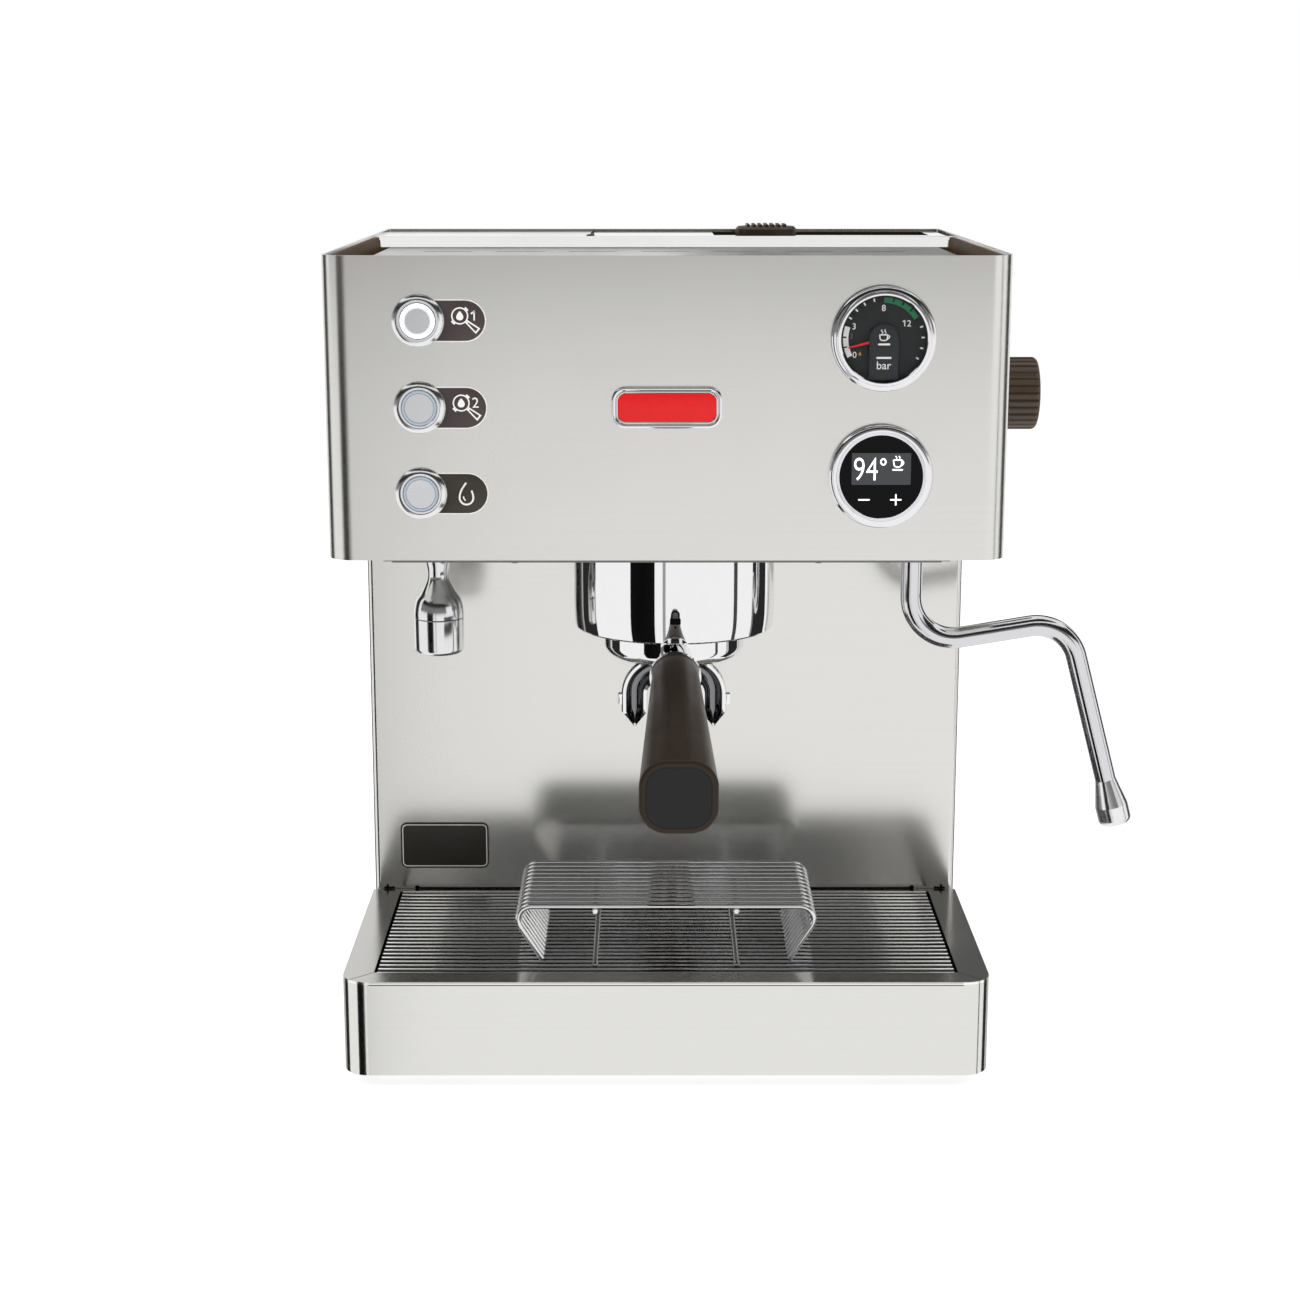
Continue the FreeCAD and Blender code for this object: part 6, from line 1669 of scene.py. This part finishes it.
@dataclass
class DripGrid:
    """Round cross wires of the grid on two rods, with two bars on top."""

    half: float = 134.0
    span: Flat = (-127.9, -13.5)
    count: int = 23
    radius: float = 1.4
    wire_z: float = 50.3
    rod_x: float = 115.0
    rod_radius: float = 2.0
    rod_z: float = 47.4
    bar_x: float = 33.0
    bar_z: float = 52.6
    bar_front: float = -119.9

    def build(self) -> None:
        """Draw the wires, rods and bars."""
        grid, bars = Form(), Form()
        for y in spaced(self.span, self.count):
            ends = [Vector((x, y, self.wire_z)) for x in (-self.half, self.half)]
            grid.sweep(ends, self.radius, ease=WIRE_EASE)
        front, back = self.span[0] - self.radius, self.span[1] + self.radius
        for side in (-1, 1):
            rod = [Vector((side * self.rod_x, y, self.rod_z)) for y in (front, back)]
            bars.sweep(rod, self.rod_radius, ease=WIRE_EASE)
            bar = [Vector((side * self.bar_x, y, self.bar_z)) for y in (self.bar_front, back)]
            bars.sweep(bar, self.radius, ease=WIRE_EASE)
        # The wires carry painted shade on their sides and underside.
        grid.add("drip_grid_wires", GRID_STEEL, "steel_wire", Body.DRIP_GRID, ("drip_grid",))
        bars.add("drip_grid_bars", WIRE_STEEL, "steel_wire", Body.DRIP_GRID)


@dataclass
class CupStand:
    """Round arched wires of the cup stand on two rods."""

    span: Flat = (-112.2, -46.4)
    count: int = 12
    radius: float = 1.4
    foot: Flat = (57.5, 51.85)
    shoulder: Flat = (74.6, 78.4)
    bend: float = 6.5
    rod_x: float = 33.0
    rod_z: float = 76.1

    def build(self) -> None:
        """Bend the wires and lay the rods under them."""
        foot, shoulder = Vector(self.foot), Vector(self.shoulder)
        leg = shoulder - foot
        foot += leg * (self.radius * leg.x / leg.length / leg.y)
        arch = [(-foot.x, foot.y), (-shoulder.x, shoulder.y), (shoulder.x, shoulder.y), (foot.x, foot.y)]
        stand = Form()
        for y in spaced(self.span, self.count):
            stand.sweep(bent([Vector((x, y, z)) for x, z in arch], self.bend), self.radius)
        front, back = self.span[0] - self.radius, self.span[1] + self.radius
        for side in (-1, 1):
            rod = [Vector((side * self.rod_x, y, self.rod_z)) for y in (front, back)]
            stand.sweep(rod, self.radius, ease=WIRE_EASE)
        stand.add("cup_stand_wires", WIRE_STEEL, "steel_wire", Body.CUP_STAND, ("cup_stand",))


@dataclass
class RearPanel:
    """Domed screws along both edges of the rear panel."""

    screw_x: float = 141.0
    screw_heights: tuple[float, ...] = (22.0, 190.0, 362.0)
    screw_size: Flat = (3.4, 1.6)
    screw_segments: int = 40
    slot: Flat = (4.2, 0.9)
    slot_corner: float = 0.3
    slot_base: float = 1.35
    slot_depths: Flat = (0.3, 0.32)

    def build(self) -> None:
        """Set the screws, with their cross slots as dark plates of painted shade."""
        back = box_of("rear_panel")[1].y
        crossed = (self.slot, self.slot[::-1])
        heads, slots = Form(), Form()
        for side in (-1, 1):
            for height in self.screw_heights:
                base = along(Vector((side * self.screw_x, back, height)), BACKWARD)
                heads.lathe(dome(*self.screw_size), base, False, self.screw_segments)
                top = shifted(base, z=self.slot_base)
                for size, depth in zip(crossed, self.slot_depths):
                    slots.plate(rounded_box(*size, self.slot_corner), top, depth)
        heads.add("rear_screws", CHROME, "chrome_parts")
        # Painted shade: the cross slots are dark plates, not recesses.
        slots.add("rear_screw_slots", DARK, "dark_plastic")


@dataclass
class TopDeck:
    """Rear deck with its leaning riser, the casing's rim, and the clip at the tank lid's seam."""

    half: float = 148.6
    riser_y: float = 71.0
    lean: float = 2.1
    deck_top: float = 373.5
    top: float = 379.0
    fold: float = 0.5
    fold_reach: float = 1.5
    sheet: float = 1.0
    sheet_sharp: float = 10.0
    back: float = 137.6
    seam_x: float = -38.2
    seam_y: float = 77.5
    seam_gap: float = 0.6
    clip_outline: tuple[Flat, ...] = ((-2.0, -3.5), (0.6, -3.5), (2.0, 4.0), (-0.8, 4.0))
    clip_sink: float = 0.3
    clip_depth: float = 1.0
    clip_edge: float = 0.2
    rim_half: float = 149.4
    rim_front: float = -138.4
    rim_back: float = 136.0
    rim_height: float = 379.5
    rim_corner: float = 11.4
    rim_radius: float = 0.55
    rim_sides: int = 16

    def rear_sheet(self) -> None:
        """Fold the riser and the fixed half of the rear deck from one sheet."""
        low = box_of("rear_deck")[0].z
        crest = self.riser_y + self.lean
        front = [Vector((self.riser_y, low)), Vector((self.riser_y, self.deck_top)),
                 Vector((crest, self.top - self.fold)), Vector((crest + self.fold, self.top))]
        behind = [Vector((p.x + self.sheet, p.y - self.sheet / 2)) for p in reversed(front)]
        edge = Vector((crest + self.fold_reach, self.top))
        sheet = Form().plate([*front, edge, *behind], across(-self.half), 2 * self.half)
        flat = flat_box(edge.x, self.top - self.sheet, self.back, self.top)
        sheet.plate(flat, across(-self.half), self.half + self.seam_x - self.seam_gap)
        sheet.add("rear_deck_sheet", REAR_STEEL, "steel_sheet", replaces=("rear_deck",),
                  sharp=self.sheet_sharp)

    def rim(self) -> None:
        """Run the rolled edge round the top of the casing, open at the back."""
        half, height = self.rim_half, self.rim_height
        corners = [Vector((-half, self.rim_back, height)), Vector((-half, self.rim_front, height)),
                   Vector((half, self.rim_front, height)), Vector((half, self.rim_back, height))]
        edge = Form().sweep(bent(corners, self.rim_corner), self.rim_radius, self.rim_sides)
        edge.add("casing_rim", CHROME, "steel_sheet")

    def build(self) -> None:
        """Fold the sheet, roll the casing's edge and set the dark clip in the seam."""
        self.rear_sheet()
        self.rim()
        place = Matrix.Translation((self.seam_x, self.seam_y, self.top - self.clip_sink))
        clip = Form().plate(self.clip_outline, place, self.clip_depth, self.clip_edge)
        clip.add("seam_clip", DARK, "dark_plastic")


PARTS: tuple[type, ...] = (HeadPanel, Buttons, Gauge, Display, Column, Group, WaterSpout, TwinSpout,
                           DripTray, DripGrid, CupStand, RearPanel, TopDeck)


@dataclass
class Dressing:
    """Finishes of the frame's own solids."""

    finishes: dict[str, Finish] = field(default_factory=lambda: {
        "base_plate": ZINC, "brew_boiler": BRASS, "brew_pipe": COPPER, "button_bezels": SATIN_CHROME,
        "cable_gland": DARK, "column_shell": WALL_STEEL, "control_board": BOARD, "cup_stand": WIRE_STEEL,
        "cup_tray": LEVEL_STEEL, "display_bezel": CHROME, "display_glass": GLASS_BLACK, "drip_basin": DARK,
        "drip_grid": GRID_STEEL, "feet": RUBBER, "filter_basket": INNER_STEEL, "gauge_case": CHROME,
        "gauge_dial": DIAL_BLACK, "gauge_glass": GAUGE_GLASS, "gauge_needle": NEEDLE_RED,
        "group_gasket": RUBBER, "group_head": CHROME, "group_ring": CHROME, "handle_cap": CAP_BLACK,
        "handle_ferrule": CHROME, "handle_grip": BROWN, "head_casing": PANEL_STEEL,
        "head_floor": UNDER_STEEL, "mains_rocker": DARK, "mains_switch": DARK,
        "one_cup_button": BUTTON_STEEL, "portafilter_body": CHROME, "pump": PUMP_BODY,
        "pump_mounts": RUBBER, "rear_deck": REAR_STEEL, "rear_panel": SIDE_STEEL,
        "shower_screen": INNER_STEEL, "solenoid_valve": BRASS, "spout_nozzle": CHROME,
        "steam_boiler": INNER_STEEL, "steam_knob": KNOB_BROWN, "steam_pipe": COPPER, "steam_valve": BRASS,
        "steam_wand": TUBE_STEEL, "suction_hose": TANK_CLEAR, "tank_cap": CAP_BROWN, "tank_cradle": DARK,
        "tank_lid": LID_BROWN, "tray_frame": FRAME_STEEL, "tray_rails": RAIL_BROWN,
        "tray_skirt": SKIRT_STEEL, "twin_spout": CHROME, "two_cup_button": BUTTON_STEEL,
        "valve_spindle": BRASS, "wand_pipe": COPPER, "wand_socket": CHROME, "wand_tip": SATIN_CHROME,
        "water_button": BUTTON_STEEL, "water_pipe": COPPER, "water_spout": CHROME, "water_tank": TANK_CLEAR,
    })

    def build(self) -> None:
        """Give every solid its material and smooth its round faces."""
        for name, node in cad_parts.items():
            mesh = node.data
            mesh.materials.clear()
            mesh.materials.append(self.finishes[name].material())
            mesh.polygons.foreach_set("material_index", [0] * len(mesh.polygons))
            mesh.shade_smooth()
            mesh.set_sharp_from_angle(angle=math.radians(SHARP_ANGLE))
            LOG.info("%s dressed", name)


class Sight(Enum):
    """Kinds of ray that the studio's cards are hidden from."""

    CAMERA = "visible_camera"
    DIFFUSE = "visible_diffuse"
    SHADOW = "visible_shadow"
    TRANSMISSION = "visible_transmission"
    SCATTER = "visible_volume_scatter"


@dataclass(frozen=True)
class Card:
    """Curved upright card round the machine that only mirrors see; metres and degrees."""

    name: str
    start: float
    end: float
    low: float
    high: float
    light: float
    radius: float = 3.0
    steps: int = 24


@dataclass(frozen=True)
class Lamp:
    """Soft square lamp that mirrors don't see; metres and watts."""

    name: str
    place: tuple[float, float, float]
    power: float
    size: float


@dataclass
class Studio:
    """Camera, placed in millimetres, and floor, cards and lamps, in metres."""

    camera_place: tuple[float, float, float] = (-7.4, -1165.9, 432.8)
    camera_pitch: float = 12.412
    lens: float = 65.51
    sensor: float = 36.0
    clip: float = 0.05
    floor_reach: float = 6.0
    floor_glow: float = 0.74
    floor_shades: Flat = (0.78, 0.8)
    floor_rough: float = 0.9
    floor_patches: float = 3.0
    card_shades: Flat = (0.0, 0.01)
    card_rough: float = 1.0
    card_patches: float = 1.0
    ambient: float = 0.35
    aim: tuple[float, float, float] = (0.0, 0.0, 0.2)
    cards: tuple[Card, ...] = (
        Card("card_left", -50.0, -22.0, -2.5, 2.5, 0.002),
        Card("card_far_left", -128.0, -100.0, -2.5, 2.5, 0.02),
        Card("card_far_right", 98.0, 125.0, -2.5, 2.5, 0.02),
        Card("card_strip_left", -13.2, -10.0, -2.5, 2.5, 0.35),
        Card("card_strip_right", 69.0, 74.0, -2.5, 2.5, 0.06),
        Card("card_above", -85.0, 38.0, 0.255, 1.0, 0.2),
        Card("card_mid", -85.0, 85.0, 1.0, 2.7, 0.02),
        Card("card_high", -85.0, 85.0, 4.1, 20.0, 0.02),
        Card("card_back_right", 140.0, 179.0, 0.7, 3.2, 0.06),
        Card("card_back_left", 181.0, 220.0, 0.7, 3.2, 0.6),
        Card("card_back_low", 128.0, 232.0, -2.5, -0.75, 0.5),
    )
    lamps: tuple[Lamp, ...] = (
        Lamp("lamp_left", (-1.4, -1.2, 1.6), 12.0, 1.2),
        Lamp("lamp_right", (1.6, -1.0, 1.5), 16.0, 1.2),
        Lamp("lamp_top", (0.0, 0.3, 2.0), 12.0, 1.6),
    )

    def camera(self) -> None:
        """Place the camera in front of the machine."""
        data = bpy.data.cameras.new("camera")
        data.lens = self.lens
        data.sensor_width = self.sensor
        data.clip_start = self.clip
        data.dof.use_dof = False
        holder = bpy.data.objects.new("camera", data)
        holder.location = Vector(self.camera_place) * MM
        holder.rotation_euler = (math.radians(90 - self.camera_pitch), 0, 0)
        bpy.context.scene.collection.objects.link(holder)
        bpy.context.scene.camera = holder

    def world(self) -> None:
        """Set a surround that is white to the camera and mirrors and dimmer to diffuse light."""
        world = bpy.data.worlds.new("surround")
        world.use_nodes = True
        bpy.context.scene.world = world
        tree = world.node_tree
        back = tree.nodes["Background"]
        back.inputs["Color"].default_value = (1, 1, 1, 1)
        path = tree.nodes.new("ShaderNodeLightPath")
        most = path.outputs["Is Camera Ray"]
        for label in ("Is Glossy Ray", "Is Transmission Ray"):
            larger = tree.nodes.new("ShaderNodeMath")
            larger.operation = "MAXIMUM"
            tree.links.new(most, larger.inputs[0])
            tree.links.new(path.outputs[label], larger.inputs[1])
            most = larger.outputs["Value"]
        ramp = tree.nodes.new("ShaderNodeMapRange")
        ramp.inputs["To Min"].default_value = self.ambient
        ramp.inputs["To Max"].default_value = 1.0
        tree.links.new(most, ramp.inputs["Value"])
        tree.links.new(ramp.outputs["Result"], back.inputs["Strength"])

    def floor(self) -> None:
        """Lay a pale floor that keeps the machine's soft shadow."""
        reach = self.floor_reach
        corners = [(-reach, -reach, 0), (reach, -reach, 0), (reach, reach, 0), (-reach, reach, 0)]
        data = bpy.data.meshes.new("floor")
        data.from_pydata(corners, [], [(0, 1, 2, 3)])
        shader = Shader("floor")
        dark, light = ((shade,) * 3 for shade in self.floor_shades)
        shader.tint(shader.patches(self.floor_patches), dark, light)
        shader.set(Roughness=self.floor_rough, Specular_IOR_Level=0.0, Emission_Color=(1, 1, 1, 1),
                   Emission_Strength=self.floor_glow)
        data.materials.append(shader.material)
        piece = bpy.data.objects.new("floor", data)
        piece.visible_glossy = False
        bpy.context.scene.collection.objects.link(piece)

    def card(self, plan: Card) -> None:
        """Stand one card round the machine.

        Args:
            plan: Where it stands and how bright it is.
        """
        points = []
        for step in range(plan.steps + 1):
            angle = math.radians(plan.start + (plan.end - plan.start) * step / plan.steps)
            x, y = plan.radius * math.sin(angle), -plan.radius * math.cos(angle)
            points.extend([(x, y, plan.low), (x, y, plan.high)])
        faces = [(2 * s, 2 * s + 2, 2 * s + 3, 2 * s + 1) for s in range(plan.steps)]
        data = bpy.data.meshes.new(plan.name)
        data.from_pydata(points, [], faces)
        shader = Shader(plan.name)
        dark, light = ((shade,) * 3 for shade in self.card_shades)
        shader.tint(shader.patches(self.card_patches), dark, light)
        shader.set(Roughness=self.card_rough, Specular_IOR_Level=0.0, Emission_Color=(1, 1, 1, 1),
                   Emission_Strength=plan.light)
        data.materials.append(shader.material)
        piece = bpy.data.objects.new(plan.name, data)
        for kind in Sight:
            setattr(piece, kind.value, False)
        bpy.context.scene.collection.objects.link(piece)

    def lamp(self, plan: Lamp) -> None:
        """Hang one lamp, aimed at the machine.

        Args:
            plan: Where it hangs, its power and its size.
        """
        data = bpy.data.lights.new(plan.name, "AREA")
        data.energy = plan.power
        data.size = plan.size
        holder = bpy.data.objects.new(plan.name, data)
        holder.location = plan.place
        beam = Vector(self.aim) - Vector(plan.place)
        holder.rotation_euler = beam.to_track_quat("-Z", "Y").to_euler()
        holder.visible_glossy = False
        holder.visible_camera = False
        bpy.context.scene.collection.objects.link(holder)

    def build(self) -> None:
        """Set up the whole studio."""
        bpy.context.scene.view_settings.view_transform = "Standard"
        self.camera()
        self.world()
        self.floor()
        for card in self.cards:
            self.card(card)
        for lamp in self.lamps:
            self.lamp(lamp)
        LOG.info("studio ready")


def main() -> None:
    """Dress the machine, build its trim and light it."""
    logging.basicConfig(level=logging.INFO, format="%(name)s: %(message)s")
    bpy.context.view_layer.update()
    Dressing().build()
    for part in PARTS:
        part().build()
    Studio().build()


if __name__ == "__main__":
    main()
